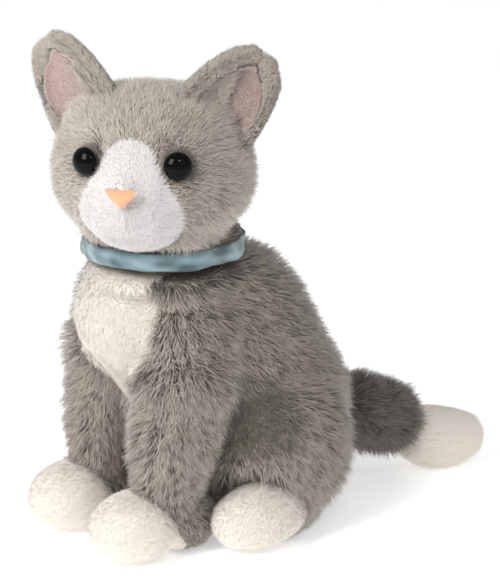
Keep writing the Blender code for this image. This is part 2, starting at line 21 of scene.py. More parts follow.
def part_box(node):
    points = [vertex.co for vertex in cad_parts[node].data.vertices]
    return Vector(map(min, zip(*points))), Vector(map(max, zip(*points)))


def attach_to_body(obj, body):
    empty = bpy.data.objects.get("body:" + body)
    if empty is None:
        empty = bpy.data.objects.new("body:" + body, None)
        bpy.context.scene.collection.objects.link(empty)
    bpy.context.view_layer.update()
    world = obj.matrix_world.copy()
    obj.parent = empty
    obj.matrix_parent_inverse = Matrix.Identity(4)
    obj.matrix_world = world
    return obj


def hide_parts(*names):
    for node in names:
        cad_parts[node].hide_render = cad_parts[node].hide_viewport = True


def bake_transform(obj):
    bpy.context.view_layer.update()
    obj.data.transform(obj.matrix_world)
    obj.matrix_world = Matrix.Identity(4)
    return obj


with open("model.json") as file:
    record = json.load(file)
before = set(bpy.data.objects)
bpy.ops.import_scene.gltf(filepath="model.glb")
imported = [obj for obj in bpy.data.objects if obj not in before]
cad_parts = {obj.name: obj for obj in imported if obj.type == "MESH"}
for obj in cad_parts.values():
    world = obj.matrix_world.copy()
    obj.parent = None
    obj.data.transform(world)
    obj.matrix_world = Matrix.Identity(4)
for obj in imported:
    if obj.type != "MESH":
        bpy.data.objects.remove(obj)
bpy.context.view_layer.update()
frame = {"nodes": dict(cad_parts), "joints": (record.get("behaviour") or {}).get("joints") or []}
log = logging.getLogger("plush_cat")

Array = np.ndarray
Field = Callable[[Array], Array]
Comb = Callable[[Array, Array], Array]
Triple = tuple[float, float, float]


class Side(Enum):
    """A side of the cat, as a sign along X."""

    LEFT = 1
    RIGHT = -1

    @property
    def word(self) -> str:
        """The side's name, as the frame's nodes and bodies start."""
        return self.name.lower()


# ---------------------------------------------------------------- arithmetic on many points


def unit(vectors: Array) -> Array:
    """Vectors at length one, row by row."""
    size = np.linalg.norm(vectors, axis=-1, keepdims=True)
    return vectors / np.maximum(size, 1e-9)


def ramp(values: Array, low: float, high: float) -> Array:
    """A smooth step from 0 at low to 1 at high.

    Args:
        values: where the step is read.
        low: the value at which it leaves 0. It may be above high.
        high: the value at which it reaches 1.

    Returns:
        One number from 0 to 1 for each value.
    """
    share = np.clip((values - low) / (high - low), 0.0, 1.0)
    return share * share * (3 - 2 * share)


def joint(name: str) -> dict:
    """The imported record's joint of this name."""
    return next(j for j in frame["joints"] if j["name"] == name)


NECK = Vector(joint("head_nod")["pos_m"])
HEAD_ACROSS = Vector(joint("head_nod")["axis"]).normalized()
HEAD_AHEAD = Vector((HEAD_ACROSS.y, -HEAD_ACROSS.x, 0.0))
HEAD_FRAME = Matrix.Translation(NECK) @ Matrix.Rotation(math.atan2(HEAD_ACROSS.y, HEAD_ACROSS.x), 4, "Z")


def in_head(points: Array) -> Array:
    """Points in the head's own frame: X to its left, -Y ahead, Z up from the neck's turning point."""
    away = points - np.array(NECK)
    return np.stack([away @ np.array(HEAD_ACROSS), -(away @ np.array(HEAD_AHEAD)), away[:, 2]], axis=1)


# ---------------------------------------------------------------- finishes


class Graph:
    """A short way to lay out a node tree."""

    def __init__(self, tree: bpy.types.NodeTree) -> None:
        """Takes the tree that nodes are added to."""
        self.tree = tree

    def add(self, kind: str, inputs: dict | None = None, **settings: object) -> bpy.types.Node:
        """Adds a node.

        Args:
            kind: the node's type.
            inputs: socket name or number to a value, or to the output socket that feeds it.
            settings: the node's own properties.

        Returns:
            The new node.
        """
        node = self.tree.nodes.new(kind)
        for key, value in settings.items():
            setattr(node, key, value)
        for key, value in (inputs or {}).items():
            if isinstance(value, bpy.types.NodeSocket):
                self.tree.links.new(value, node.inputs[key])
            else:
                node.inputs[key].default_value = value
        return node

    def math(self, operation: str, first: object, second: object = 0.0) -> bpy.types.NodeSocket:
        """One Math node's result."""
        return self.add("ShaderNodeMath", {0: first, 1: second}, operation=operation).outputs[0]

    def mix(self, factor: object, first: object, second: object) -> bpy.types.NodeSocket:
        """One Mix node's colour."""
        return self.add("ShaderNodeMix", {0: factor, 6: first, 7: second}, data_type="RGBA").outputs[2]


def group(
    name: str, inputs: dict[str, tuple[str, object]], outputs: dict[str, str]
) -> tuple[Graph, dict, bpy.types.Node]:
    """Starts a shader node group.

    Args:
        name: the group's name.
        inputs: socket name to its type and default value.
        outputs: socket name to its type.

    Returns:
        The group's graph, its input sockets by name and its output node.
    """
    tree = bpy.data.node_groups.new(name, "ShaderNodeTree")
    for key, (kind, value) in inputs.items():
        tree.interface.new_socket(key, in_out="INPUT", socket_type=kind).default_value = value
    for key, kind in outputs.items():
        tree.interface.new_socket(key, in_out="OUTPUT", socket_type=kind)
    graph = Graph(tree)
    entry = graph.add("NodeGroupInput")
    return graph, {key: entry.outputs[key] for key in inputs}, graph.add("NodeGroupOutput")


COLOUR, NUMBER = "NodeSocketColor", "NodeSocketFloat"


def strand_tones() -> bpy.types.NodeTree:
    """The group that colours a strand from its root to its tip, each a little unlike the next."""
    graph, given, out = group(
        "strand_tones",
        {
            "Root": (COLOUR, (0.1, 0.1, 0.1, 1)),
            "Middle": (COLOUR, (0.3, 0.3, 0.3, 1)),
            "Tip": (COLOUR, (0.5, 0.5, 0.5, 1)),
            "Variation": (NUMBER, 0.2),
            "Patches": (NUMBER, 0.2),
        },
        {"Color": COLOUR},
    )
    where = graph.add("ShaderNodeSeparateXYZ", {0: graph.add("ShaderNodeUVMap", uv_map="strand").outputs[0]})
    own, up = where.outputs[0], where.outputs[1]
    lower = graph.mix(graph.math("MULTIPLY", up, 2.0), given["Root"], given["Middle"])
    upper = graph.mix(graph.math("MULTIPLY_ADD", up, 2.0), given["Middle"], given["Tip"])
    upper.node.inputs[0].links[0].from_node.inputs[2].default_value = -1.0
    tone = graph.mix(graph.math("GREATER_THAN", up, 0.5), lower, upper)
    spread = graph.math("MULTIPLY", graph.math("SUBTRACT", own, 0.5), given["Variation"])
    place = graph.add("ShaderNodeTexCoord").outputs["Object"]
    cloud = graph.add("ShaderNodeTexNoise", {"Vector": place, "Scale": 55.0, "Detail": 3.0}).outputs["Fac"]
    drift = graph.math("MULTIPLY", graph.math("SUBTRACT", cloud, 0.5), given["Patches"])
    value = graph.math("ADD", graph.math("ADD", 1.0, spread), drift)
    shaded = graph.add("ShaderNodeHueSaturation", {"Color": tone, "Value": value}).outputs[0]
    graph.tree.links.new(shaded, out.inputs["Color"])
    return graph.tree


def cloth_grain() -> bpy.types.NodeTree:
    """The group of a knitted backing: a fine grain as a height, and a colour that follows it."""
    graph, given, out = group(
        "cloth_grain",
        {"Color": (COLOUR, (0.5, 0.5, 0.5, 1)), "Scale": (NUMBER, 900.0), "Depth": (NUMBER, 0.25)},
        {"Color": COLOUR, "Height": NUMBER},
    )
    place = graph.add("ShaderNodeTexCoord").outputs["Object"]
    cells = graph.add("ShaderNodeTexVoronoi", {"Vector": place, "Scale": given["Scale"]}).outputs["Distance"]
    cloud = graph.add("ShaderNodeTexNoise", {"Vector": place, "Scale": 120.0, "Detail": 4.0}).outputs["Fac"]
    height = graph.math("MULTIPLY", graph.math("SUBTRACT", 1.0, cells), graph.math("ADD", cloud, 0.5))
    darker = graph.math("SUBTRACT", 1.0, graph.math("MULTIPLY", cells, given["Depth"]))
    toned = graph.add("ShaderNodeHueSaturation", {"Color": given["Color"], "Value": darker}).outputs[0]
    graph.tree.links.new(toned, out.inputs["Color"])
    graph.tree.links.new(height, out.inputs["Height"])
    return graph.tree


GROUPS = {"strand": strand_tones(), "grain": cloth_grain()}


def new_material(name: str) -> tuple[bpy.types.Material, Graph, bpy.types.Node]:
    """A material with its graph and its Principled shader."""
    made = bpy.data.materials.new(name)
    made.use_nodes = True
    return made, Graph(made.node_tree), made.node_tree.nodes["Principled BSDF"]


def set_inputs(node: bpy.types.Node, values: dict[str, object]) -> None:
    """Sets the values of a node's inputs by name."""
    for key, value in values.items():
        node.inputs[key].default_value = value


def place_group(graph: Graph, tree: bpy.types.NodeTree, values: dict) -> bpy.types.Node:
    """Puts a node group in a material with its own values."""
    node = graph.add("ShaderNodeGroup", node_tree=tree)
    set_inputs(node, values)
    return node


@dataclass(frozen=True)
class FurFinish:
    """The fibre of a fur fabric."""

    name: str
    root: Triple
    middle: Triple
    tip: Triple
    variation: float = 0.25
    patches: float = 0.35
    sheen: float = 0.35
    # A faint emission of the fibre's middle tone: painted light, standing in for the light that pale strands
    # scatter into each other's shade.
    glow: float = 0.0

    def material(self) -> bpy.types.Material:
        """The fibre's material, made once."""
        if found := bpy.data.materials.get(self.name):
            return found
        made, graph, shader = new_material(self.name)
        tones = {"Root": (*self.root, 1), "Middle": (*self.middle, 1), "Tip": (*self.tip, 1)}
        tones |= {"Variation": self.variation, "Patches": self.patches}
        tone = place_group(graph, GROUPS["strand"], tones).outputs[0]
        graph.tree.links.new(tone, shader.inputs["Base Color"])
        # The emission is painted light: a glow in place of light scattered between strands.
        set_inputs(shader, {"Emission Color": (*self.middle, 1), "Emission Strength": self.glow})
        surface = graph.add("ShaderNodeNewGeometry")
        turned = graph.math("MULTIPLY_ADD", surface.outputs["Backfacing"], -2.0)
        turned.node.inputs[2].default_value = 1.0
        kept = graph.add("ShaderNodeVectorMath", {0: surface.outputs["Normal"]}, operation="SCALE")
        graph.tree.links.new(turned, kept.inputs["Scale"])
        graph.tree.links.new(kept.outputs[0], shader.inputs["Normal"])
        looks = {
            "Roughness": 0.85,
            "Specular IOR Level": 0.18,
            "Sheen Weight": self.sheen,
            "Sheen Roughness": 0.45,
        }
        set_inputs(shader, looks)
        return made


@dataclass(frozen=True)
class ClothFinish:
    """A knitted or woven cloth."""

    name: str
    color: Triple
    scale: float = 900.0
    depth: float = 0.35
    roughness: float = 0.95

    def material(self) -> bpy.types.Material:
        """The cloth's material, made once."""
        if found := bpy.data.materials.get(self.name):
            return found
        made, graph, shader = new_material(self.name)
        values = {"Color": (*self.color, 1), "Scale": self.scale, "Depth": self.depth}
        grain = place_group(graph, GROUPS["grain"], values)
        height = grain.outputs["Height"]
        bump = graph.add("ShaderNodeBump", {"Height": height, "Strength": 0.4, "Distance": 0.0003})
        graph.tree.links.new(grain.outputs["Color"], shader.inputs["Base Color"])
        graph.tree.links.new(bump.outputs[0], shader.inputs["Normal"])
        set_inputs(shader, {"Roughness": self.roughness, "Specular IOR Level": 0.2})
        return made


GREY_FIBRE = FurFinish(
    "grey_fibre", (0.12, 0.105, 0.09), (0.31, 0.272, 0.234), (0.56, 0.497, 0.428), 0.5
)
# A darker copy of the grey fibre: painted shade, used on the tail and in the fold beside the haunch.
PAINTED_SHADE_FIBRE = FurFinish(
    "tail_fibre", (0.045, 0.039, 0.034), (0.115, 0.101, 0.087), (0.235, 0.208, 0.178), 0.5
)
GREY_FACE_FIBRE = FurFinish(
    "grey_face_fibre", (0.16, 0.14, 0.122), (0.37, 0.325, 0.28), (0.61, 0.542, 0.466), 0.4
)
# Near-black fibre, used for the painted shade round the eyes and the darker fur above their inner corners.
DARK_FIBRE = FurFinish(
    "dark_face_fibre", (0.035, 0.03, 0.027), (0.10, 0.088, 0.078), (0.21, 0.185, 0.16), 0.5
)
# White fibre with a faint emission: painted light in place of the light scattered between its strands.
WHITE_FIBRE = FurFinish(
    "white_fibre", (0.93, 0.85, 0.74), (0.96, 0.89, 0.79), (0.98, 0.92, 0.83), 0.04, 0.03, glow=0.07
)
EAR_FIBRE = FurFinish(
    "ear_fibre", (0.14, 0.122, 0.106), (0.31, 0.272, 0.236), (0.52, 0.462, 0.398), 0.4
)
BIB_FIBRE = FurFinish(
    "bib_fibre", (0.80, 0.74, 0.64), (0.84, 0.78, 0.68), (0.87, 0.81, 0.72), 0.04, 0.03
)
MUZZLE_FIBRE = FurFinish(
    "muzzle_fibre", (0.70, 0.665, 0.66), (0.74, 0.70, 0.695), (0.77, 0.73, 0.725), 0.04, 0.05
)
PINK_FIBRE = FurFinish(
    "pink_velour", (0.38, 0.26, 0.23), (0.47, 0.375, 0.34), (0.55, 0.47, 0.435), 0.12, 0.35
)
GREY_BACKING = ClothFinish("grey_backing", (0.17, 0.15, 0.13))
WHITE_BACKING = ClothFinish("white_backing", (0.88, 0.80, 0.71))
PINK_BACKING = ClothFinish("pink_backing", (0.40, 0.29, 0.26))
POUCH_CLOTH = ClothFinish("pouch_calico", (0.52, 0.48, 0.40), 600.0)
SEAT_CLOTH = ClothFinish("seat_cloth", (0.30, 0.265, 0.23), 700.0)


# ---------------------------------------------------------------- mesh helpers


def deselect() -> None:
    """Leaves object mode with nothing selected."""
    if bpy.context.object and bpy.context.object.mode != "OBJECT":
        bpy.ops.object.mode_set(mode="OBJECT")
    bpy.ops.object.select_all(action="DESELECT")


def choose(*objects: bpy.types.Object) -> None:
    """Selects these objects only, the first of them active."""
    deselect()
    for obj in objects:
        obj.select_set(True)
    bpy.context.view_layer.objects.active = objects[0]


def apply_modifiers(obj: bpy.types.Object) -> None:
    """Applies all of an object's modifiers."""
    choose(obj)
    for modifier in list(obj.modifiers):
        bpy.ops.object.modifier_apply(modifier=modifier.name)


def points_of(mesh: bpy.types.Mesh) -> Array:
    """A mesh's points, one row each."""
    flat = np.empty(len(mesh.vertices) * 3)
    mesh.vertices.foreach_get("co", flat)
    return flat.reshape(-1, 3)


def normals_of(mesh: bpy.types.Mesh) -> Array:
    """A mesh's vertex normals, one row each."""
    flat = np.empty(len(mesh.vertices) * 3)
    mesh.vertices.foreach_get("normal", flat)
    return flat.reshape(-1, 3)


def move_points(mesh: bpy.types.Mesh, points: Array) -> None:
    """Puts a mesh's points elsewhere."""
    mesh.vertices.foreach_set("co", points.ravel())
    mesh.update()


@dataclass
class Plug:
    """A ball that fills a hollow of the frame before a skin is drawn over it."""

    centre: Triple
    radii: Triple
    turn: float = 0.0


def both_sides(centre: Triple, radii: Triple) -> list[Plug]:
    """A plug on the left side and its mirror image on the right."""
    return [Plug((side.value * centre[0], *centre[1:]), radii) for side in Side]


def drawn_skin(name: str, nodes: list[str], plugs: list[Plug], voxel: float, smooth: int) -> bpy.types.Object:
    """A closed skin drawn over copies of CAD nodes.

    Args:
        name: the new object's name.
        nodes: the CAD nodes that it covers.
        plugs: balls that fill hollows between them.
        voxel: the grain of the new surface.
        smooth: how many times the surface is evened.

    Returns:
        The skin, at the origin.
    """
    parts = []
    for node in nodes:
        copy = bpy.data.objects.new(node + "_copy", frame["nodes"][node].data.copy())
        bpy.context.scene.collection.objects.link(copy)
        parts.append(copy)
    deselect()
    for plug in plugs:
        bpy.ops.mesh.primitive_uv_sphere_add(
            segments=32,
            ring_count=16,
            radius=1,
            location=plug.centre,
            scale=plug.radii,
            rotation=(0, 0, plug.turn),
        )
        parts.append(bpy.context.object)
        bpy.ops.object.transform_apply(location=True, rotation=True, scale=True)
    choose(*parts)
    bpy.ops.object.join()
    skin = bpy.context.object
    skin.name = name
    skin.data.name = name
    bpy.ops.object.mode_set(mode="EDIT")
    bpy.ops.mesh.select_all(action="SELECT")
    bpy.ops.mesh.remove_doubles(threshold=1e-6)
    bpy.ops.object.mode_set(mode="OBJECT")
    remesh = skin.modifiers.new("drawn", "REMESH")
    remesh.mode = "VOXEL"
    remesh.voxel_size = voxel
    evened = skin.modifiers.new("evened", "SMOOTH")
    evened.factor = 0.5
    evened.iterations = smooth
    apply_modifiers(skin)
    skin.data.materials.clear()
    bpy.ops.object.shade_smooth()
    return skin


def sink(skin: bpy.types.Object, depth: float, share: Field | None = None) -> None:
    """Moves a skin in by the depth of its pile, but not where it rests on the floor.

    Args:
        skin: the skin.
        depth: how far it goes in.
        share: the share of the depth at each point.
    """
    points, normals = points_of(skin.data), normals_of(skin.data)
    reach = depth * ramp(points[:, 2], 0.002, 0.012) * (share(points) if share else 1.0)
    move_points(skin.data, points - normals * reach[:, None])


def attach(piece: bpy.types.Object, body: str, slot: str, *replaced: str) -> None:
    """Fixes a piece to a body and hides the CAD nodes that it stands for."""
    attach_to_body(piece, body)
    if replaced:
        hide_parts(*replaced)


def colour_faces(skin: bpy.types.Object, second: Field, *finishes: ClothFinish) -> None:
    """Gives a skin two cloths: the second where its mask is over a half."""
    for finish in finishes:
        skin.data.materials.append(finish.material())
    centres = np.empty(len(skin.data.polygons) * 3)
    skin.data.polygons.foreach_get("center", centres)
    choice = (second(centres.reshape(-1, 3)) > 0.5).astype(np.int32)
    skin.data.polygons.foreach_set("material_index", choice)


# ---------------------------------------------------------------- pile


# A blade's stations along its strand and its widths there; it ends in a point.
BLADE_HEIGHTS = (0.0, 0.68, 1.0)
BLADE_WIDTHS = (1.0, 0.72)
# How a strand's length is shared between its bends, and how far it leans below and above them.
KNEE_SHARE, ELBOW_SHARE, TIP_SHARE = 0.36, 0.30, 0.36
LOW_LEAN, HIGH_LEAN = 0.55, 1.35
# How deep a root stands in the skin, and the strands' least height over the floor.
ROOT_DEPTH = 0.0004
FLOOR_GAP = 0.0003
# How deep a skin lies in the short even pile.
PLAIN_SINK = 0.0008
# The gather at which tufts differ from each other fully.
CLUMPED = 0.16
# Half the width of a seam between two colours of fur.
SEAM = 0.0006


@dataclass
class Pile:
    """A pile of strands standing on a skin.

    Each strand is a tapered blade of one or two spans. Strands gather into tufts, lie over in the direction
    that the fabric is combed and are shaded as one soft surface with the tufts showing.
    """

    name: str
    count: int
    length: float
    lean: float = 0.62
    width: float = 0.00028
    tuft: float = 0.0026
    gather: float = 0.20
    stray: float = 0.50
    seed: int = 1
    relief: float = 0.22
    spans: int = 2

    def roots(self, skin: bpy.types.Object, where: Field, rng: np.random.Generator) -> tuple[Array, Array]:
        """Spreads roots evenly over the part of a skin that the pile covers.

        Args:
            skin: the skin.
            where: the share of strands kept at each point, from 0 to 1.
            rng: the source of chance.

        Returns:
            The roots and the skin's normals there.
        """
        mesh = skin.data
        mesh.calc_loop_triangles()
        corners = np.empty(len(mesh.loop_triangles) * 3, dtype=np.int64)
        mesh.loop_triangles.foreach_get("vertices", corners)
        corners = corners.reshape(-1, 3)
        points, normals = points_of(mesh), normals_of(mesh)
        a, b, c = (points[corners[:, i]] for i in range(3))
        area = np.linalg.norm(np.cross(b - a, c - a), axis=1) / 2
        weight = area * np.maximum(where((a + b + c) / 3), 0.0)
        edges = np.cumsum(weight)
        total = int(self.count * 1.15)
        spots = (np.arange(total) + rng.random(total)) / total * edges[-1]
        face = np.minimum(np.searchsorted(edges, spots), len(area) - 1)
        u, v = np.sqrt(rng.random(total)), rng.random(total)
        shares = np.stack([1 - u, u * (1 - v), u * v], axis=1)
        root = np.einsum("ij,ijk->ik", shares, points[corners[face]])
        normal = unit(np.einsum("ij,ijk->ik", shares, normals[corners[face]]))
        kept = rng.random(total) < where(root)
        order = rng.permutation(np.flatnonzero(kept))[: self.count]
        return root[order], normal[order]

    def grow(
        self,
        skin: bpy.types.Object,
        where: Field,
        comb: Comb,
        finish: FurFinish,
        length_at: Field | None = None,
        lean_at: Field | None = None,
    ) -> bpy.types.Object:
        """Grows the pile.

        Args:
            skin: the skin that it stands on.
            where: the share of strands kept at each point.
            comb: the direction that the fabric is combed in, from points and normals.
            finish: the fibre.
            length_at: the share of the full length at each point.
            lean_at: the share of the full lean at each point.

        Returns:
            The pile as one mesh object.
        """
        rng = np.random.default_rng(self.seed)
        root, normal = self.roots(skin, where, rng)
        count = len(root)
        flow = comb(root, normal)
        flow = unit(flow - normal * np.sum(flow * normal, axis=1, keepdims=True))
        across = np.cross(normal, flow)

        tree, heads = self.tufts(root)
        owner = np.array([tree.find(p)[1] for p in root])
        clump = min(1.0, self.gather / CLUMPED)
        size = rng.normal(1.0, 0.10 * clump, heads)[owner] * rng.uniform(0.78, 1.12, count)
        if length_at is not None:
            size = size * length_at(root)
        long = (self.length * size)[:, None]
        lean = self.lean * (lean_at(root) if lean_at is not None else 1.0)
        lean = lean * (1 + rng.normal(0, 0.12 * clump, heads)[owner] + rng.normal(0, 0.08, count))
        turn = rng.normal(0, 0.28 * clump, heads)[owner] + rng.normal(0, self.stray, count)
        heading = flow * np.cos(turn)[:, None] + across * np.sin(turn)[:, None]

        low = normal * np.cos(lean * LOW_LEAN)[:, None] + heading * np.sin(lean * LOW_LEAN)[:, None]
        high = normal * np.cos(lean * HIGH_LEAN)[:, None] + heading * np.sin(lean * HIGH_LEAN)[:, None]
        base = root - normal * ROOT_DEPTH
        knee = root + low * long * KNEE_SHARE
        elbow = knee + unit(low + high) * long * ELBOW_SHARE
        tip = elbow + high * long * TIP_SHARE
        gather = (self.gather * rng.uniform(0.55, 1.15, count))[:, None]
        tip = tip + (tip[owner] - tip) * gather
        elbow = elbow + (elbow[owner] - elbow) * gather * 0.62

        offset = root - root[owner]
        offset = offset - normal * np.sum(offset * normal, axis=1, keepdims=True)
        shading = unit(normal + offset / self.tuft * self.relief + heading * 0.12)
        return self.blades([base, elbow, tip], normal, shading, finish, rng)

    def tufts(self, root: Array) -> tuple[KDTree, int]:
        """The middles of the tufts: the first roots, as many as the spacing asks for."""
        span = root.max(axis=0) - root.min(axis=0)
        area = 2.2 * (span[0] * span[1] + span[1] * span[2] + span[0] * span[2]) / 1.6
        heads = int(min(len(root), max(12, area / self.tuft**2)))
        tree = KDTree(heads)
        for i in range(heads):
            tree.insert(root[i], i)
        tree.balance()
        return tree, heads

    def blades(
        self,
        stations: list[Array],
        normal: Array,
        shading: Array,
        finish: FurFinish,
        rng: np.random.Generator,
    ) -> bpy.types.Object:
        """Makes the strands' mesh.

        Args:
            stations: the strands' points from root to tip.
            normal: the skin's normal at each root.
            shading: the normal that each strand is shaded with.
            finish: the fibre.
            rng: the source of chance.

        Returns:
            The mesh object.
        """
        kept = (0, 2) if self.spans == 1 else (0, 1, 2)
        middles = [np.copy(stations[k]) for k in kept]
        for middle in middles:
            middle[:, 2] = np.maximum(middle[:, 2], FLOOR_GAP)
        count, rows = len(normal), len(middles) - 1
        along = unit(middles[-1] - middles[0])
        side = unit(np.cross(along, normal))
        twist = rng.normal(0, 0.45, count)[:, None]
        side = unit(side * np.cos(twist) + np.cross(along, side) * np.sin(twist))
        half = (self.width / 2 * rng.uniform(0.75, 1.25, count))[:, None]
        points = np.empty((count, 2 * rows + 1, 3))
        for row, k in enumerate(kept[:-1]):
            points[:, 2 * row] = middles[row] - side * half * BLADE_WIDTHS[k]
            points[:, 2 * row + 1] = middles[row] + side * half * BLADE_WIDTHS[k]
        points[:, -1] = middles[-1]
        pattern, starts, heights = [], [], []
        level = [BLADE_HEIGHTS[k] for k in kept]
        for row in range(rows - 1):
            starts.append(len(pattern))
            pattern += [2 * row, 2 * row + 1, 2 * row + 3, 2 * row + 2]
            heights += [level[row], level[row], level[row + 1], level[row + 1]]
        starts.append(len(pattern))
        pattern += [2 * rows - 2, 2 * rows - 1, 2 * rows]
        heights += [level[-2], level[-2], 1.0]
        each = np.arange(count, dtype=np.int32)[:, None]
        loops = (each * (2 * rows + 1) + np.array(pattern, dtype=np.int32)).ravel()
        begins = (each * len(pattern) + np.array(starts, dtype=np.int32)).ravel()
        mesh = bpy.data.meshes.new(self.name)
        mesh.vertices.add(count * (2 * rows + 1))
        mesh.vertices.foreach_set("co", points.ravel())
        mesh.loops.add(len(loops))
        mesh.loops.foreach_set("vertex_index", loops)
        mesh.polygons.add(count * rows)
        mesh.polygons.foreach_set("loop_start", begins)
        mesh.update(calc_edges=True)
        chart = np.stack([np.repeat(rng.random(count), len(pattern)), np.tile(heights, count)], axis=1)
        mesh.uv_layers.new(name="strand").data.foreach_set("uv", chart.ravel())
        mesh.polygons.foreach_set("use_smooth", np.ones(count * rows, dtype=bool))
        mesh.normals_split_custom_set_from_vertices(np.repeat(shading, 2 * rows + 1, axis=0))
        mesh.materials.append(finish.material())
        pile = bpy.data.objects.new(self.name, mesh)
        bpy.context.scene.collection.objects.link(pile)
        log.info("%s: %d strands", self.name, count)
        return pile


def plain_pile(name: str, count: int, seed: int, length: float = 0.0050) -> Pile:
    """The short even pile of the white paws and the tail's tip."""
    even = {"gather": 0.0, "relief": 0.0}
    return Pile(name, count, length, lean=0.88, width=0.00030, stray=0.7, seed=seed, **even)


def everywhere(points: Array) -> Array:
    """A mask that covers all."""
    return np.ones(len(points))


def on_side(mask: Field, side: Side) -> Field:
    """A mask kept on one side of the cat only."""
    return lambda points: mask(points) * (points[:, 0] * side.value > 0)


def combed(direction: Triple) -> Comb:
    """A comb that draws the pile one way."""
    return lambda points, normals: np.tile(np.array(direction, dtype=float), (len(points), 1))


# ---------------------------------------------------------------- sub-assemblies


@dataclass
class Torso:
    """The body with its haunches, the white chest panel and the seat."""

    voxel: float = 0.0024
    sunk: float = 0.0038
    bib_rows: tuple[tuple[float, float], ...] = (
        (0.1400, 0.0240),
        (0.1250, 0.0262),
        (0.1100, 0.0275),
        (0.0990, 0.0270),
        (0.0900, 0.0235),
        (0.0820, 0.0165),
        (0.0750, 0.0090),
        (0.0700, 0.0),
    )

    def chest(self, points: Array) -> Array:
        """The white chest panel's mask."""
        heights, halves = zip(*reversed(self.bib_rows), strict=True)
        reach = np.interp(points[:, 2], heights, halves, left=0.0)
        front = points[:, 1] < -0.035 - 0.020 * ramp(points[:, 2], 0.114, 0.124)
        return ramp(reach - np.abs(points[:, 0]), -SEAM, SEAM) * front

    @staticmethod
    def rump(points: Array) -> Array:
        """The share of the pile's depth: more low on the rump, and less at the chest."""
        low = ramp(points[:, 2], 0.050, 0.010) * ramp(points[:, 1], 0.005, 0.035)
        chest = ramp(points[:, 1], -0.060, -0.070)
        return 1 + 0.25 * low - 0.45 * chest

    def haunch(self, points: Array) -> Array:
        """The mask of the haunches."""
        across = (np.abs(points[:, 0]) - 0.034) / 0.026
        away = across**2 + ((points[:, 1] - 0.005) / 0.038) ** 2 + ((points[:, 2] - 0.038) / 0.041) ** 2
        return (away < 1) * (np.abs(points[:, 0]) > 0.030) * 1.0

    def thigh(self, points: Array) -> Array:
        """The mask of the haunches' fur."""
        return self.haunch(points) * self.visible(points)

    @staticmethod
    def crease(points: Array) -> Array:
        """The mask of the painted shade in the fold between the front leg and the haunch."""
        away = ((points[:, 1] + 0.018) / 0.022) ** 2 + ((points[:, 2] - 0.056) / 0.034) ** 2
        return ramp(away, 1.0, 0.2) * ramp(points[:, 2], 0.044, 0.052) * (np.abs(points[:, 0]) > 0.024)

    def comb(self, points: Array, normals: Array) -> Array:
        """The body is combed down and back, and outwards over the haunches."""
        flow = np.zeros_like(points)
        flow[:, 2] = -1.0
        flow[:, 1] = 0.35 - 0.5 * ramp(points[:, 1], -0.03, -0.07)
        flow[:, 0] = 0.25 * np.sign(points[:, 0]) * ramp(np.abs(points[:, 0]), 0.0, 0.03)
        return flow

    def visible(self, points: Array) -> Array:
        """Leaves out the underside and what the neck and the collar cover."""
        under = ramp(points[:, 2], 0.0006, 0.003)
        neck = np.hypot(points[:, 0] - NECK.x, points[:, 1] - NECK.y)
        top = 1 - ramp(points[:, 2], 0.127, 0.130) * (neck < 0.030)
        return under * top

    def build(self) -> None:
        """Builds the body."""
        upper_arm, room, ankle = (0.0255, -0.041, 0.104), (0.0275, -0.045, 0.083), (0.046, -0.002, 0.016)
        plugs = [
            Plug((0.001, -0.038, 0.113), (0.029, 0.030, 0.0185)),
            Plug((NECK.x, NECK.y, 0.1280), (0.0352, 0.0360, 0.0090)),
            *both_sides(upper_arm, (0.0185, 0.0235, 0.0240)),
            *both_sides(room, (0.0226, 0.0226, 0.0226)),
            Plug((0.0, 0.052, 0.038), (0.013, 0.013, 0.013)),
            *both_sides(ankle, (0.012, 0.012, 0.012)),
        ]
        nodes = ["torso_skin", "chest_bib", "torso_filling"]
        nodes += [f"{side.word}_haunch_{part}" for side in Side for part in ("skin", "filling")]
        skin = drawn_skin("body_backing", nodes, plugs, self.voxel, 14)
        sink(skin, self.sunk, self.rump)
        colour_faces(skin, self.chest, GREY_BACKING, WHITE_BACKING)
        attach(skin, "torso", "grey_fur", *nodes)

        def back(points: Array) -> Array:
            return (1 - self.chest(points)) * (1 - self.haunch(points)) * self.visible(points)

        halves = {
            Side.LEFT: lambda points: back(points) * (points[:, 0] >= 0),
            Side.RIGHT: lambda points: back(points) * (points[:, 0] < 0),
        }
        for side, mask in halves.items():
            pile = Pile(f"{side.word}_body_fur", 39000, 0.0108, seed=11 + side.value)
            body = pile.grow(skin, mask, self.comb, GREY_FIBRE, self.length_at, self.lean_at)
            attach(body, "torso", "grey_fur")
            pile = Pile(f"{side.word}_haunch_fur", 18000, 0.0105, seed=21 + side.value)
            thigh = pile.grow(skin, on_side(self.thigh, side), self.comb, GREY_FIBRE, self.length_at)
            attach(thigh, "torso", "grey_fur")
            # Painted shade: darker strands in the fold between the front leg and the haunch.
            pile = Pile(f"{side.word}_flank_shade_fur", 13000, 0.0114, seed=26 + side.value)
            shade = pile.grow(skin, on_side(self.crease, side), self.comb, PAINTED_SHADE_FIBRE)
            attach(shade, "torso", "grey_fur")
        even = {"gather": 0.0, "relief": 0.0}
        pile = Pile("chest_bib_fur", 44000, 0.0066, lean=0.95, width=0.00030, stray=0.6, seed=31, **even)
        bib = pile.grow(skin, self.chest, self.comb, BIB_FIBRE, self.length_at, self.lean_at)
        attach(bib, "torso", "white_fur")

    def lean_at(self, points: Array) -> Array:
        """Lies over more on the rim below the ribbon."""
        return 1 + 0.35 * ramp(points[:, 2], 0.122, 0.130)

    def length_at(self, points: Array) -> Array:
        """Shorter next to the floor and on the rim below the ribbon."""
        return (0.50 + 0.50 * ramp(points[:, 2], 0.004, 0.030)) * (1 - 0.3 * ramp(points[:, 2], 0.126, 0.131))


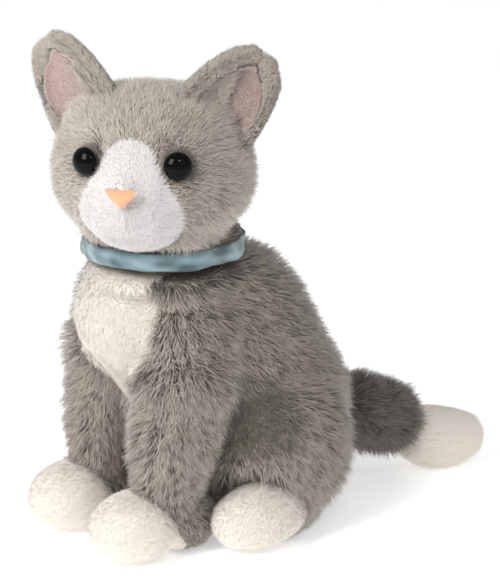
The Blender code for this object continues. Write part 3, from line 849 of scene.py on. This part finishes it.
@dataclass
class Neck:
    """The short neck with the satin ribbon round it."""

    ribbon_out: float = 0.0008
    ribbon_width: float = 0.0088
    ribbon_cut: float = 0.0100
    ribbon_steps: int = 120

    def build(self) -> None:
        """Builds the neck's fur and the ribbon."""
        skin = drawn_skin("neck_backing", ["neck_skin", "neck_filling"], [], 0.0020, 4)
        skin.data.materials.append(GREY_BACKING.material())
        attach(skin, "neck", "grey_fur", "neck_skin", "neck_filling")
        low, high = (Vector(corner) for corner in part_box("neck_skin"))

        def rim(points: Array) -> Array:
            away = np.hypot(points[:, 0] - NECK.x, points[:, 1] - NECK.y)
            ahead = (points - np.array(NECK)) @ np.array(HEAD_AHEAD) / np.maximum(away, 1e-6)
            return (away > 0.024) * (points[:, 2] - (low.z + high.z) / 2 > 0.0042) * ramp(ahead, 0.85, 0.6)

        def over(points: Array, normals: Array) -> Array:
            flow = np.zeros_like(points)
            flow[:, 2] = np.sign((low.z + high.z) / 2 - points[:, 2])
            return flow

        pile = Pile("neck_fur", 5000, 0.0044, lean=0.8, gather=0.1, seed=41)
        fur = pile.grow(skin, rim, over, GREY_FACE_FIBRE)
        attach(fur, "neck", "grey_fur")
        self.ribbon()

    def ribbon(self) -> None:
        """The ribbon: a band with soft waves along its edges, as fur presses it."""
        low, high = (Vector(corner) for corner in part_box("ribbon_collar"))
        radius = (high.x - low.x) / 2 + self.ribbon_out
        middle = (low + high) / 2
        tall = self.ribbon_width
        deselect()
        bpy.ops.mesh.primitive_cylinder_add(
            vertices=self.ribbon_steps, radius=radius, depth=tall, end_fill_type="NOTHING", location=middle
        )
        band = bpy.context.object
        band.name = band.data.name = "satin_ribbon"
        bpy.ops.object.transform_apply(location=True, rotation=True, scale=True)
        bpy.ops.object.mode_set(mode="EDIT")
        bpy.ops.mesh.select_all(action="SELECT")
        bpy.ops.mesh.subdivide(number_cuts=5, smoothness=0)
        bpy.ops.object.mode_set(mode="OBJECT")
        points = points_of(band.data)
        away = points[:, :2] - np.array(middle)[:2]
        angle = np.arctan2(away[:, 1], away[:, 0])
        height = (points[:, 2] - middle.z) / (tall / 2)
        wave = 0.0005 * np.sin(angle * 7 + 0.6) + 0.0003 * np.sin(angle * 13 + 2.0)
        cup = 0.0007 * (1 - height**2) + 0.0003 * np.sin(angle * 19 + height * 2)
        scale = 1 + (wave * height + cup) / radius
        points[:, :2] = np.array(middle)[:2] + away * scale[:, None]
        points[:, 2] += 0.0003 * np.sin(angle * 5 + 1.0) + 0.0002 * np.sin(angle * 9)
        move_points(band.data, points)
        self.chart(band, angle, height)
        wall = band.modifiers.new("thickness", "SOLIDIFY")
        wall.thickness = 0.0004
        wall.offset = 0
        apply_modifiers(band)
        bpy.ops.object.shade_smooth()
        band.data.materials.append(satin("teal_satin_ribbon", (0.028, 0.060, 0.068), (0.19, 0.29, 0.32)))
        attach(band, "neck", "teal_satin", "ribbon_collar")

    @staticmethod
    def chart(band: bpy.types.Object, angle: Array, height: Array) -> None:
        """Lays the ribbon's own map along its length and its width."""
        layer = band.data.uv_layers[0] if band.data.uv_layers else band.data.uv_layers.new(name="along")
        layer.name = "along"
        corner = np.empty(len(band.data.loops), dtype=np.int64)
        band.data.loops.foreach_get("vertex_index", corner)
        chart = np.stack([angle[corner] / (2 * math.pi) + 0.5, height[corner] / 2 + 0.5], axis=1)
        layer.data.foreach_set("uv", chart.ravel())


def satin(name: str, deep: Triple, pale: Triple) -> bpy.types.Material:
    """Woven satin: fine threads along the ribbon, a sheen across it, painted light and shade in broad bands,
    and a plain selvedge.
    """
    made, graph, shader = new_material(name)
    chart = graph.add("ShaderNodeUVMap", uv_map="along").outputs[0]
    where = graph.add("ShaderNodeSeparateXYZ", {0: chart})
    stretched = graph.add("ShaderNodeMapping", {"Vector": chart, "Scale": (40.0, 70.0, 1.0)}).outputs[0]
    weave = graph.add("ShaderNodeTexNoise", {"Vector": stretched, "Scale": 2.0, "Detail": 4.0})
    threads = weave.outputs["Fac"]
    # Painted light and shade: broad bands that mix the deep and pale teal, as light falls across the satin's
    # folds.
    slow = graph.add("ShaderNodeMapping", {"Vector": chart, "Scale": (9.0, 0.8, 1.0)}).outputs[0]
    fold_light_and_shade = graph.add("ShaderNodeTexNoise", {"Vector": slow, "Scale": 1.6, "Detail": 1.0}).outputs["Fac"]
    share = graph.math("MULTIPLY_ADD", fold_light_and_shade, 3.4)
    share.node.inputs[2].default_value = -1.35
    share = graph.math("ADD", share, graph.math("MULTIPLY", threads, 0.3))
    share = graph.add("ShaderNodeClamp", {"Value": share}).outputs[0]
    tone = graph.mix(share, (*deep, 1), (*pale, 1))
    edge = graph.math("ABSOLUTE", graph.math("SUBTRACT", where.outputs[1], 0.5))
    graph.tree.links.new(
        graph.mix(graph.math("GREATER_THAN", edge, 0.455), tone, (*(c * 0.6 for c in deep), 1)),
        shader.inputs["Base Color"],
    )
    bump = graph.add("ShaderNodeBump", {"Height": threads, "Strength": 0.25, "Distance": 0.0003})
    graph.tree.links.new(bump.outputs[0], shader.inputs["Normal"])
    set_inputs(shader, {"Roughness": 0.42, "Sheen Weight": 0.3, "Anisotropic": 0.5})
    return made


@dataclass
class Head:
    """The head: grey fur, white face, glossy eyes and a stitched nose."""

    voxel: float = 0.0019
    sunk: float = 0.0030
    middle: Triple = (0.0, -0.014, 0.0375)
    face_rows: tuple[tuple[float, float], ...] = (
        (0.0152, 0.0),
        (0.0145, 0.0046),
        (0.0124, 0.0074),
        (0.0090, 0.0097),
        (0.0050, 0.0118),
        (0.0002, 0.0142),
        (-0.0060, 0.0182),
        (-0.0115, 0.0208),
        (-0.0170, 0.0207),
        (-0.0215, 0.0185),
        (-0.0258, 0.0145),
        (-0.0295, 0.0085),
        (-0.0320, 0.0),
    )
    eye_middles: list[Vector] = field(default_factory=list)

    def local(self, points: Array) -> Array:
        """Points from the middle of the head, in its own frame."""
        return in_head(points) - np.array(self.middle)

    def world(self, point: Triple) -> Vector:
        """A point of the head's own frame in the cat's frame."""
        return HEAD_FRAME @ (Vector(self.middle) + Vector(point))

    def face(self, points: Array) -> Array:
        """The white face's mask."""
        here = self.local(points)
        heights, halves = zip(*reversed(self.face_rows), strict=True)
        reach = np.interp(here[:, 2], heights, halves, left=0.0, right=0.0)
        return ramp(reach - np.abs(here[:, 0]), -SEAM, SEAM) * (here[:, 1] < -0.012)

    def eyes(self, points: Array, low: float, high: float) -> Array:
        """A mask that is 0 within low of an eye's middle and 1 beyond high."""
        clear = np.ones(len(points))
        for middle in self.eye_middles:
            clear *= ramp(np.linalg.norm(points - np.array(middle), axis=1), low, high)
        return clear

    def comb(self, points: Array, normals: Array) -> Array:
        """The head is combed away from the nose, back over the crown and down the cheeks."""
        here = self.local(points)
        away = here - np.array([0.0, -0.052, -0.006])
        away[:, 2] -= 0.022 * ramp(np.abs(here[:, 0]), 0.012, 0.034) + 0.05 * ramp(here[:, 2], -0.016, -0.028)
        away[:, 1] += 0.004
        turn = np.array(HEAD_FRAME.to_3x3())
        return away @ turn.T

    def build(self) -> None:
        """Builds the head."""
        nodes = ["head_skin", "face_panel", "head_filling"]
        plug = self.world((0, 0.006, -0.006))
        turn = math.atan2(HEAD_ACROSS.y, HEAD_ACROSS.x)
        crown = self.world((0, 0.001, 0.0195))
        plugs = [Plug(tuple(plug), (0.033, 0.031, 0.026)), Plug(tuple(crown), (0.0375, 0.0265, 0.0145), turn)]
        self.place_eyes()
        skin = drawn_skin("head_backing", nodes, plugs, self.voxel, 8)
        sink(skin, self.sunk)
        colour_faces(skin, self.face, GREY_BACKING, WHITE_BACKING)
        attach(skin, "head", "grey_fur", *nodes)

        def open_fur(points: Array) -> Array:
            return (1 - self.face(points)) * self.eyes(points, 0.0052, 0.0062)

        def face_fur(points: Array) -> Array:
            return self.face(points) * self.eyes(points, 0.0052, 0.0060) * (1 - self.nose(points))

        def upper(points: Array) -> Array:
            return open_fur(points) * (self.local(points)[:, 2] >= 0.004)

        def lower(points: Array) -> Array:
            return open_fur(points) * (self.local(points)[:, 2] < 0.004)

        for name, mask, seed in (("crown_fur", upper, 51), ("cheek_fur", lower, 52)):
            pile = Pile(name, 34000, 0.0092, lean=0.78, width=0.00026, gather=0.09, relief=0.12, seed=seed)
            fur = pile.grow(skin, mask, self.comb, GREY_FACE_FIBRE, self.length_at, self.lean_at)
            attach(fur, "head", "grey_fur")
        pile = Pile(
            "face_fur", 30000, 0.0050, lean=0.98, width=0.00026, gather=0.0, stray=0.6, relief=0.03, seed=53
        )
        fur = pile.grow(skin, face_fur, self.comb, MUZZLE_FIBRE, self.face_length)
        attach(fur, "head", "white_fur")
        # Darker strands round the eyes: painted shade in the eyes' hollows.
        pile = Pile("eye_shade_fur", 5000, 0.0058, lean=0.9, width=0.00026, gather=0.2, seed=54)
        fur = pile.grow(skin, self.shade, self.comb, DARK_FIBRE)
        attach(fur, "head", "grey_fur")
        self.build_eyes()
        self.build_nose()

    def shade(self, points: Array) -> Array:
        """Darker fur round each eye, painted shade where the eye sits in its hollow, and darker fur above its
        inner corner.
        """
        clear = self.eyes(points, 0.0054, 0.0060)
        # The ring round each eye is painted shade.
        ring = 1 - self.eyes(points, 0.0066, 0.0088)
        here = self.local(points)
        tufts = np.zeros(len(points))
        for side in Side:
            away = np.hypot(here[:, 0] - side.value * 0.0142, (here[:, 2] - 0.0172) * 0.6)
            tufts = np.maximum(tufts, 0.30 * ramp(away, 0.0052, 0.0012) * (here[:, 1] < 0))
        grey = 1 - self.face(points)
        return clear * np.maximum(ring * grey, tufts * grey)

    def nose(self, points: Array) -> Array:
        """The mask of the stitched nose."""
        here = self.local(points)
        tall = (here[:, 2] + 0.0045) / 0.0044
        reach = 0.0052 * np.clip((tall + 1.0) / 2.0, 0, 1) ** 0.8
        return (np.abs(here[:, 0]) < reach) * (np.abs(tall + 0.3) < 0.75) * (here[:, 1] < -0.020) * 1.0

    def length_at(self, points: Array) -> Array:
        """Short round the eyes and beside the muzzle, full over the crown, longest under the cheeks."""
        here = self.local(points)
        front = ramp(here[:, 1], -0.036, -0.012)
        ruff = 0.95 * ramp(here[:, 2], -0.020, -0.031) * ramp(np.abs(here[:, 0]), 0.012, 0.022)
        return (0.55 + 0.45 * front) * (0.45 + 0.55 * self.eyes(points, 0.006, 0.016)) + ruff

    def lean_at(self, points: Array) -> Array:
        """Lies closer beside the eyes."""
        return 1.25 - 0.25 * self.eyes(points, 0.006, 0.014)

    def face_length(self, points: Array) -> Array:
        """Shortest round the nose, longer under the chin."""
        here = self.local(points)
        from_nose = np.hypot(here[:, 0], here[:, 2] + 0.0045)
        return 0.55 + 0.45 * ramp(from_nose, 0.006, 0.022)

    def place_eyes(self) -> None:
        """Finds the middle of each eye's dome from its node."""
        for side in Side:
            out = self.eye_axis(side)
            mesh = frame["nodes"][f"{side.word}_eye"].data
            reach = points_of(mesh) @ np.array(out)
            tip = Vector(points_of(mesh)[int(np.argmax(reach))])
            self.eye_middles.append(tip - out * 0.0044)

    @staticmethod
    def eye_axis(side: Side) -> Vector:
        """The direction that an eye looks in."""
        return HEAD_FRAME.to_3x3() @ Vector((side.value * 0.42, -1, 0.10)).normalized()

    def build_eyes(self) -> None:
        """Each eye is a polished dome on its shank."""
        radius, shank_radius, shank_length, crown, rim, stand = 0.0063, 0.0021, 0.0110, 0.70, 0.15, 0.0009
        for side, middle in zip(Side, self.eye_middles, strict=True):
            out = self.eye_axis(side)
            turn = out.to_track_quat("Z", "Y").to_matrix().to_4x4()
            deselect()
            bpy.ops.mesh.primitive_uv_sphere_add(segments=64, ring_count=32, radius=radius)
            eye = bpy.context.object
            eye.name = eye.data.name = f"{side.word}_eye_dome"
            points = points_of(eye.data)
            up = points[:, 2] > 0
            points[:, 2] *= np.where(up, crown, rim)
            points[:, 2] += stand
            move_points(eye.data, points)
            bpy.ops.mesh.primitive_cylinder_add(
                vertices=32, radius=shank_radius, depth=shank_length, location=(0, 0, -shank_length / 2)
            )
            shank = bpy.context.object
            choose(eye, shank)
            bpy.ops.object.join()
            eye.data.transform(Matrix.Translation(middle) @ turn)
            bpy.ops.object.shade_smooth_by_angle(angle=math.radians(50))
            eye.data.materials.clear()
            eye.data.materials.append(black_gloss())
            attach(eye, "head", "black_plastic", f"{side.word}_eye")
            log.info("%s at %s", eye.name, tuple(round(c, 4) for c in middle))

    def build_nose(self) -> None:
        """The nose: satin stitches side by side over a padded triangle, fanned to a blunt point below."""
        low, high = (Vector(corner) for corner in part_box("nose_embroidery"))
        middle = (low + high) / 2
        wide, tall, stitches, thread_half = 0.0142, 0.0090, 17, 0.00042
        strands = []
        for i in range(stitches):
            share = (i + 0.5) / stitches * 2 - 1
            top_x, low_x = share * wide / 2, share * wide * 0.10
            top_z = tall * (0.46 - 0.10 * abs(share) ** 3 - 0.05 * math.cos(share * math.pi))
            low_z = -tall * (0.50 - 0.42 * abs(share) ** 1.6)
            low_x = top_x + (low_x - top_x) * (top_z - low_z) / tall
            bulge = 0.0016 * (1 - 0.75 * share**2)
            strands.append(((top_x, top_z), (low_x, low_z), bulge))
        nose = stitched_patch("nose_stitches", strands, thread_half)
        back = Matrix.Rotation(math.atan2(HEAD_ACROSS.y, HEAD_ACROSS.x), 4, "Z")
        nose.data.transform(Matrix.Translation(middle + HEAD_AHEAD * 0.0010) @ back)
        nose.data.materials.append(thread("peach_thread", (0.60, 0.24, 0.12), (0.84, 0.42, 0.25)))
        attach(nose, "head", "peach_thread", "nose_embroidery")


def black_gloss() -> bpy.types.Material:
    """Polished black plastic with a faint brown depth."""
    if found := bpy.data.materials.get("black_eye_plastic"):
        return found
    made, graph, shader = new_material("black_eye_plastic")
    place = graph.add("ShaderNodeTexCoord").outputs["Object"]
    cloud = graph.add("ShaderNodeTexNoise", {"Vector": place, "Scale": 300.0, "Detail": 2.0}).outputs["Fac"]
    tone = graph.mix(cloud, (0.001, 0.001, 0.001, 1), (0.003, 0.0025, 0.002, 1))
    graph.tree.links.new(tone, shader.inputs["Base Color"])
    set_inputs(shader, {"Roughness": 0.07, "Specular IOR Level": 0.09})
    return made


def thread(name: str, deep: Triple, pale: Triple) -> bpy.types.Material:
    """Embroidery thread with a soft gloss."""
    made, graph, shader = new_material(name)
    place = graph.add("ShaderNodeTexCoord").outputs["Object"]
    drawn = graph.add("ShaderNodeMapping", {"Vector": place, "Scale": (1.0, 1.0, 0.12)}).outputs[0]
    cloud = graph.add("ShaderNodeTexNoise", {"Vector": drawn, "Scale": 1500.0, "Detail": 2.0}).outputs["Fac"]
    graph.tree.links.new(graph.mix(cloud, (*deep, 1), (*pale, 1)), shader.inputs["Base Color"])
    set_inputs(shader, {"Roughness": 0.5, "Sheen Weight": 0.3})
    return made


def stitched_patch(name: str, strands: list, half: float) -> bpy.types.Object:
    """A patch of stitches, each a thin thread bowed outwards.

    Args:
        name: the patch's name.
        strands: for each stitch, its upper and lower ends in the XZ plane and how far its middle stands out.
        half: half a thread's thickness.

    Returns:
        The patch, with its back at y = 0 and its face towards -Y.
    """
    threads = []
    for (x1, z1), (x2, z2), bulge in strands:
        long = math.hypot(x2 - x1, z2 - z1)
        deselect()
        bpy.ops.mesh.primitive_cylinder_add(vertices=8, radius=half, depth=long, end_fill_type="TRIFAN")
        piece = bpy.context.object
        bpy.ops.object.mode_set(mode="EDIT")
        bpy.ops.mesh.select_all(action="SELECT")
        bpy.ops.mesh.bisect(plane_co=(0, 0, long * 0.3), plane_no=(0, 0, 1))
        for share in (0.12, -0.12, -0.3):
            bpy.ops.mesh.select_all(action="SELECT")
            bpy.ops.mesh.bisect(plane_co=(0, 0, long * share), plane_no=(0, 0, 1))
        bpy.ops.object.mode_set(mode="OBJECT")
        points = points_of(piece.data)
        share = points[:, 2] / long + 0.5
        arch = np.sqrt(np.clip(1 - (2 * share - 1) ** 4, 0, 1))
        moved = np.empty_like(points)
        moved[:, 0] = points[:, 0] + x2 + (x1 - x2) * share
        moved[:, 1] = points[:, 1] - bulge * arch
        moved[:, 2] = z2 + (z1 - z2) * share
        move_points(piece.data, moved)
        threads.append(piece)
    choose(*threads)
    bpy.ops.object.join()
    patch = bpy.context.object
    patch.name = patch.data.name = name
    bpy.ops.object.shade_smooth()
    patch.data.materials.clear()
    return patch


@dataclass
class Ear:
    """One ear: a thick furry cup with a pink lining that faces out and forward."""

    side: Side
    voxel: float = 0.0014
    thin_share: float = 0.42

    @property
    def lining_cut(self) -> tuple[float, float]:
        """The flat width and length of the lining, which is smaller in the lower left ear."""
        return (0.026, 0.028) if self.side is Side.LEFT else (0.027, 0.030)

    @property
    def fold(self) -> float:
        """Where the grey fold on the head side ends, across the ear: the right ear is the more open one."""
        return -0.0035 if self.side is Side.LEFT else -0.0095

    @property
    def thin_from(self) -> float:
        """Where the outer rim starts to be pressed thinner, which is further in on the right ear."""
        return 0.0130 if self.side is Side.LEFT else 0.0075

    def frame(self) -> tuple[Array, Array, Array]:
        """The ear's root, and its directions across and up."""
        fold = joint(f"{self.side.word}_ear_fold")
        across = np.array(Vector(fold["axis"]).normalized())
        up = points_of(frame["nodes"][f"{self.side.word}_ear"].data)
        root = np.array(fold["pos_m"])
        up = unit(up[np.argmax(np.linalg.norm(up - root, axis=1))] - root)
        up = unit(up - across * (up @ across))
        return root, across, up

    def build(self) -> None:
        """Builds the ear."""
        word = self.side.word
        root, across, up = self.frame()
        outer = self.side.value
        skin = drawn_skin(f"{word}_ear_backing", [f"{word}_ear"], [], self.voxel, 3)
        points = points_of(skin.data)
        out = (points - root) @ across * outer
        thin = np.maximum(out - self.thin_from, 0) * self.thin_share
        move_points(skin.data, points - np.outer(thin * outer, across))
        skin.data.materials.append(GREY_BACKING.material())
        attach(skin, f"{word}_ear", "grey_fur", f"{word}_ear")
        lining = drawn_skin(f"{word}_ear_lining_backing", [f"{word}_ear_lining"], [], 0.0008, 2)
        lining.data.materials.append(PINK_BACKING.material())
        attach(lining, f"{word}_ear", "pink_lining", f"{word}_ear_lining")
        tree = BVHTree.FromPolygons(
            [v.co for v in lining.data.vertices], [p.vertices[:] for p in lining.data.polygons]
        )

        def local(points: Array) -> Array:
            away = points - root
            return np.stack([away @ across * outer, away @ up], axis=1)

        def inner_fold(points: Array) -> Array:
            here = local(points)
            head_side = ramp(here[:, 0] + 0.35 * (here[:, 1] - 0.020) - self.fold, 0.001, -0.001)
            return np.maximum(head_side, ramp(here[:, 0], 0.0115, 0.0135))

        def bare(points: Array) -> Array:
            gaps = np.array([tree.find_nearest(p)[3] for p in points])
            return ramp(gaps, 0.0004, 0.0014)

        def comb(points: Array, normals: Array) -> Array:
            here = local(points)
            return up + np.outer(np.sign(here[:, 0]) * 0.35 * outer, across)

        even = {"gather": 0.0, "relief": 0.0}
        pile = Pile(f"{word}_ear_fur", 19000, 0.0036, lean=0.95, seed=61 + outer, **even)
        fur = pile.grow(skin, bare, comb, EAR_FIBRE)
        attach(fur, f"{word}_ear", "grey_fur")

        pile = Pile(f"{word}_ear_fold_fur", 6500, 0.0040, lean=0.95, seed=71 + outer, **even)
        fur = pile.grow(lining, inner_fold, comb, EAR_FIBRE)
        attach(fur, f"{word}_ear", "grey_fur")
        pile = Pile(f"{word}_ear_velour", 12000, 0.0013, spans=1, seed=81 + outer, **even)
        velour = pile.grow(lining, lambda p: 1 - inner_fold(p), combed(tuple(up)), PINK_FIBRE)
        attach(velour, f"{word}_ear", "pink_lining")


def sole_length(points: Array) -> Array:
    """Pressed short beside the floor, full above it."""
    return 0.22 + 0.78 * ramp(points[:, 2], 0.000, 0.016)


@dataclass
class FrontLeg:
    """One front leg with its white paw."""

    side: Side
    voxel: float = 0.0019
    sunk: float = 0.0030
    heel: Triple = (0.0262, -0.0455, 0.0140)

    def paw(self, points: Array) -> Array:
        """The white paw's mask: ahead of a line slanting to the heel, rounded off at the sole."""
        sole = ramp(points[:, 1] + 0.0530 - 0.5 * points[:, 2], SEAM, -SEAM)
        return sole * ramp((points[:, 1] + 0.0500) * 0.77 + (points[:, 2] - 0.0060) * 0.64, SEAM, -SEAM)

    @staticmethod
    def comb(points: Array, normals: Array) -> Array:
        """Down the leg, then forward over the paw."""
        ahead = ramp(points[:, 2], 0.034, 0.020)
        flow = np.zeros_like(points)
        flow[:, 2] = -1
        flow[:, 1] = -0.6 * ahead * ramp(points[:, 1], -0.045, -0.060) + 0.06
        return flow

    def build(self) -> None:
        """Builds the leg."""
        word, body = self.side.word, f"{self.side.word}_front_leg"
        nodes = [f"{word}_front_leg_skin", f"{word}_front_paw_skin", f"{word}_front_leg_filling"]
        x, y, z = self.heel
        plugs = [Plug((x * self.side.value, y, z), (0.0135, 0.0165, 0.0140))]
        skin = drawn_skin(f"{word}_front_leg_backing", nodes, plugs, self.voxel, 8)
        sink(skin, self.sunk, lambda p: 1 - 0.75 * self.paw(p))
        colour_faces(skin, self.paw, GREY_BACKING, WHITE_BACKING)
        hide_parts(*nodes)
        pile = Pile(f"{word}_front_leg_fur", 25000, 0.0100, seed=91 + self.side.value)
        leg = pile.grow(skin, self.leg_area, self.comb, GREY_FIBRE, self.length_at)
        pile = plain_pile(f"{word}_front_paw_fur", 40000, 101 + self.side.value)
        paw = pile.grow(skin, self.paw_area, self.comb, WHITE_FIBRE, sole_length)
        for piece, slot in ((skin, "grey_fur"), (leg, "grey_fur")):
            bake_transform(piece)
        attach(paw, body, "white_fur")

    def leg_area(self, points: Array) -> Array:
        """The grey leg, without its sole and what the body covers."""
        return (1 - self.paw(points)) * ramp(points[:, 2], 0.0015, 0.004) * ramp(points[:, 2], 0.092, 0.084)

    def paw_area(self, points: Array) -> Array:
        """The white paw without its sole."""
        return self.paw(points) * ramp(points[:, 2], 0.0012, 0.003)

    @staticmethod
    def length_at(points: Array) -> Array:
        """Full on the shoulder, shorter towards the paw."""
        floor = 0.35 + 0.65 * ramp(points[:, 2], 0.003, 0.016)
        return floor * (0.62 + 0.38 * ramp(points[:, 2], 0.020, 0.060))


@dataclass
class HindPaw:
    """One white hind paw, which lifts at the ankle."""

    side: Side
    voxel: float = 0.0019
    sunk: float = PLAIN_SINK

    @staticmethod
    def comb(points: Array, normals: Array) -> Array:
        """Forward and down over the toes."""
        flow = np.zeros_like(points)
        flow[:, 1] = -0.6
        flow[:, 2] = -1.0
        return flow

    def build(self) -> None:
        """Builds the paw."""
        word, body = self.side.word, f"{self.side.word}_hind_paw"
        nodes = [f"{word}_hind_paw_skin", f"{word}_hind_paw_filling"]
        skin = drawn_skin(f"{word}_hind_paw_backing", nodes, [], self.voxel, 6)
        sink(skin, self.sunk)
        skin.data.materials.append(WHITE_BACKING.material())
        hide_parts(*nodes)
        attach(skin, body, "white_fur")
        pile = plain_pile(f"{word}_hind_paw_fur", 40000, 111 + self.side.value)
        fur = pile.grow(skin, lambda p: ramp(p[:, 2], 0.0012, 0.003), self.comb, WHITE_FIBRE, sole_length)
        attach(fur, body, "white_fur")


@dataclass
class Tail:
    """The tail: a grey length and a white tip that curls."""

    voxel: float = 0.0017
    sunk: float = 0.0030
    thick: tuple[tuple[Triple, float], ...] = (
        ((0.0015, 0.0720, 0.0370), 0.0155),
        ((0.0030, 0.0830, 0.0330), 0.0152),
        ((0.0038, 0.0905, 0.0302), 0.0140),
    )

    @staticmethod
    def comb(points: Array, normals: Array) -> Array:
        """Back along the tail."""
        flow = np.zeros_like(points)
        flow[:, 1] = 1.0
        flow[:, 2] = -0.45
        return flow

    def build(self) -> None:
        """Builds both lengths."""
        plugs = [Plug(centre, (radius,) * 3) for centre, radius in self.thick]
        # The tail's grey fur uses the darker fibre: painted shade.
        pile = Pile("tail_fur", 16000, 0.0105, seed=125)
        self.length("tail", plugs, self.sunk, GREY_BACKING, PAINTED_SHADE_FIBRE, pile, "grey_fur")
        pile = plain_pile("tail_tip_fur", 32000, 131, 0.0052)
        self.length("tail_tip", [], PLAIN_SINK, WHITE_BACKING, WHITE_FIBRE, pile, "white_fur")

    def length(
        self,
        name: str,
        plugs: list[Plug],
        sunk: float,
        cloth: ClothFinish,
        fibre: FurFinish,
        pile: Pile,
        slot: str,
    ) -> None:
        """Builds one length.

        Args:
            name: the name of its body and the start of its nodes' names.
            plugs: balls that make it fuller.
            sunk: how deep its skin lies in the pile.
            cloth: the cloth of its skin.
            fibre: the fibre of its pile.
            pile: its pile.
            slot: its colour slot, which is not used.
        """
        nodes = [f"{name}_skin", f"{name}_filling"]
        skin = drawn_skin(f"{name}_backing", nodes, plugs, self.voxel, 5)
        sink(skin, sunk)
        skin.data.materials.append(cloth.material())
        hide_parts(*nodes)
        attach(skin, name, slot)
        fur = pile.grow(skin, everywhere, self.comb, fibre)
        attach(fur, name, slot)


def outwards(azimuth: float, elevation: float) -> Vector:
    """The direction out from the cat at these degrees round it and above the floor."""
    turn, rise = math.radians(azimuth), math.radians(elevation)
    return Vector((math.sin(turn) * math.cos(rise), -math.cos(turn) * math.cos(rise), math.sin(rise)))


@dataclass
class Studio:
    """The floor, the lights and the camera."""

    azimuth: float = 54.2
    elevation: float = 16.0
    distance: float = 1.25
    target: Triple = (0.0359, -0.0142, 0.1200)
    view_width: float = 0.225
    ambient: float = 0.55
    sensor: float = 36.0

    def camera(self) -> None:
        """The camera, a long lens a little above the cat."""
        back = outwards(self.azimuth, self.elevation)
        lens = bpy.data.cameras.new("camera")
        lens.sensor_fit = "HORIZONTAL"
        lens.sensor_width = self.sensor
        lens.lens = self.sensor * self.distance / self.view_width
        lens.clip_end = 100.0
        camera = bpy.data.objects.new("camera", lens)
        camera.location = Vector(self.target) + back * self.distance
        camera.rotation_euler = back.to_track_quat("Z", "Y").to_euler()
        bpy.context.scene.collection.objects.link(camera)
        bpy.context.scene.camera = camera

    def light(
        self, name: str, side: float, rise: float, away: float, size: tuple[float, float], watts: float
    ) -> None:
        """A soft box aimed at the cat.

        Args:
            name: its name.
            side: degrees to the right of the camera, seen from it.
            rise: degrees above the floor.
            away: its distance from the cat.
            size: its width and height.
            watts: its power.
        """
        back = outwards(self.azimuth + side, rise)
        lamp = bpy.data.lights.new(name, "AREA")
        lamp.shape = "RECTANGLE"
        lamp.size, lamp.size_y = size
        lamp.energy = watts
        box = bpy.data.objects.new(name, lamp)
        box.location = Vector((0, 0, 0.11)) + back * away
        box.rotation_euler = back.to_track_quat("Z", "Y").to_euler()
        bpy.context.scene.collection.objects.link(box)

    def build(self) -> None:
        """Builds the studio."""
        self.camera()
        self.light("key_box", -42, 34, 1.1, (0.50, 0.60), 11.0)
        self.light("fill_box", 40, 30, 1.6, (1.0, 1.0), 1.5)
        self.light("spark_box", 16, 40, 0.9, (0.08, 0.09), 0.9)
        deselect()
        bpy.ops.mesh.primitive_plane_add(size=24)
        floor = bpy.context.object
        floor.name = "floor"
        made, _, shader = new_material("pale_floor")
        looks = {
            "Base Color": (0.93, 0.93, 0.93, 1),
            "Roughness": 1.0,
            "Specular IOR Level": 0.0,
            "Emission Color": (1.0, 1.0, 1.0, 1),
            "Emission Strength": 0.42,
        }
        set_inputs(shader, looks)
        floor.data.materials.append(made)
        world = bpy.data.worlds.new("studio")
        world.use_nodes = True
        graph = Graph(world.node_tree)
        sky = world.node_tree.nodes["Background"]
        sky.inputs["Color"].default_value = (1.0, 1.0, 1.0, 1)
        seen = graph.add("ShaderNodeLightPath").outputs["Is Camera Ray"]
        strength = graph.math("MULTIPLY_ADD", seen, 1.0 - self.ambient)
        strength.node.inputs[2].default_value = self.ambient
        graph.tree.links.new(strength, sky.inputs["Strength"])
        bpy.context.scene.world = world
        bpy.context.scene.view_settings.view_transform = "Standard"


def dress_inner_parts() -> None:
    """Finishes the parts inside: the pellet pouch, the seat panel and the eyes' washers."""
    made, graph, shader = new_material("washer_plastic")
    place = graph.add("ShaderNodeTexCoord").outputs["Object"]
    cloud = graph.add("ShaderNodeTexNoise", {"Vector": place, "Scale": 500.0}).outputs["Fac"]
    tone = graph.mix(cloud, (0.72, 0.73, 0.70, 1), (0.80, 0.81, 0.79, 1))
    graph.tree.links.new(tone, shader.inputs["Base Color"])
    shader.inputs["Roughness"].default_value = 0.4
    finishes = {"pellet_pouch": POUCH_CLOTH.material(), "seat_panel": SEAT_CLOTH.material()}
    finishes |= {f"{side.word}_eye_washer": made for side in Side}
    for node, finish in finishes.items():
        frame["nodes"][node].material_slots[0].material = finish
        log.info("%s: %s", node, finish.name)


def main() -> None:
    """Builds the cat and its studio, piece by piece."""
    logging.basicConfig(level=logging.INFO, format="%(name)s: %(message)s")
    Studio().build()
    Torso().build()
    Neck().build()
    Head().build()
    for side in Side:
        Ear(side).build()
        FrontLeg(side).build()
        HindPaw(side).build()
    Tail().build()
    dress_inner_parts()
    bpy.context.view_layer.update()


if __name__ == "__main__":
    main()
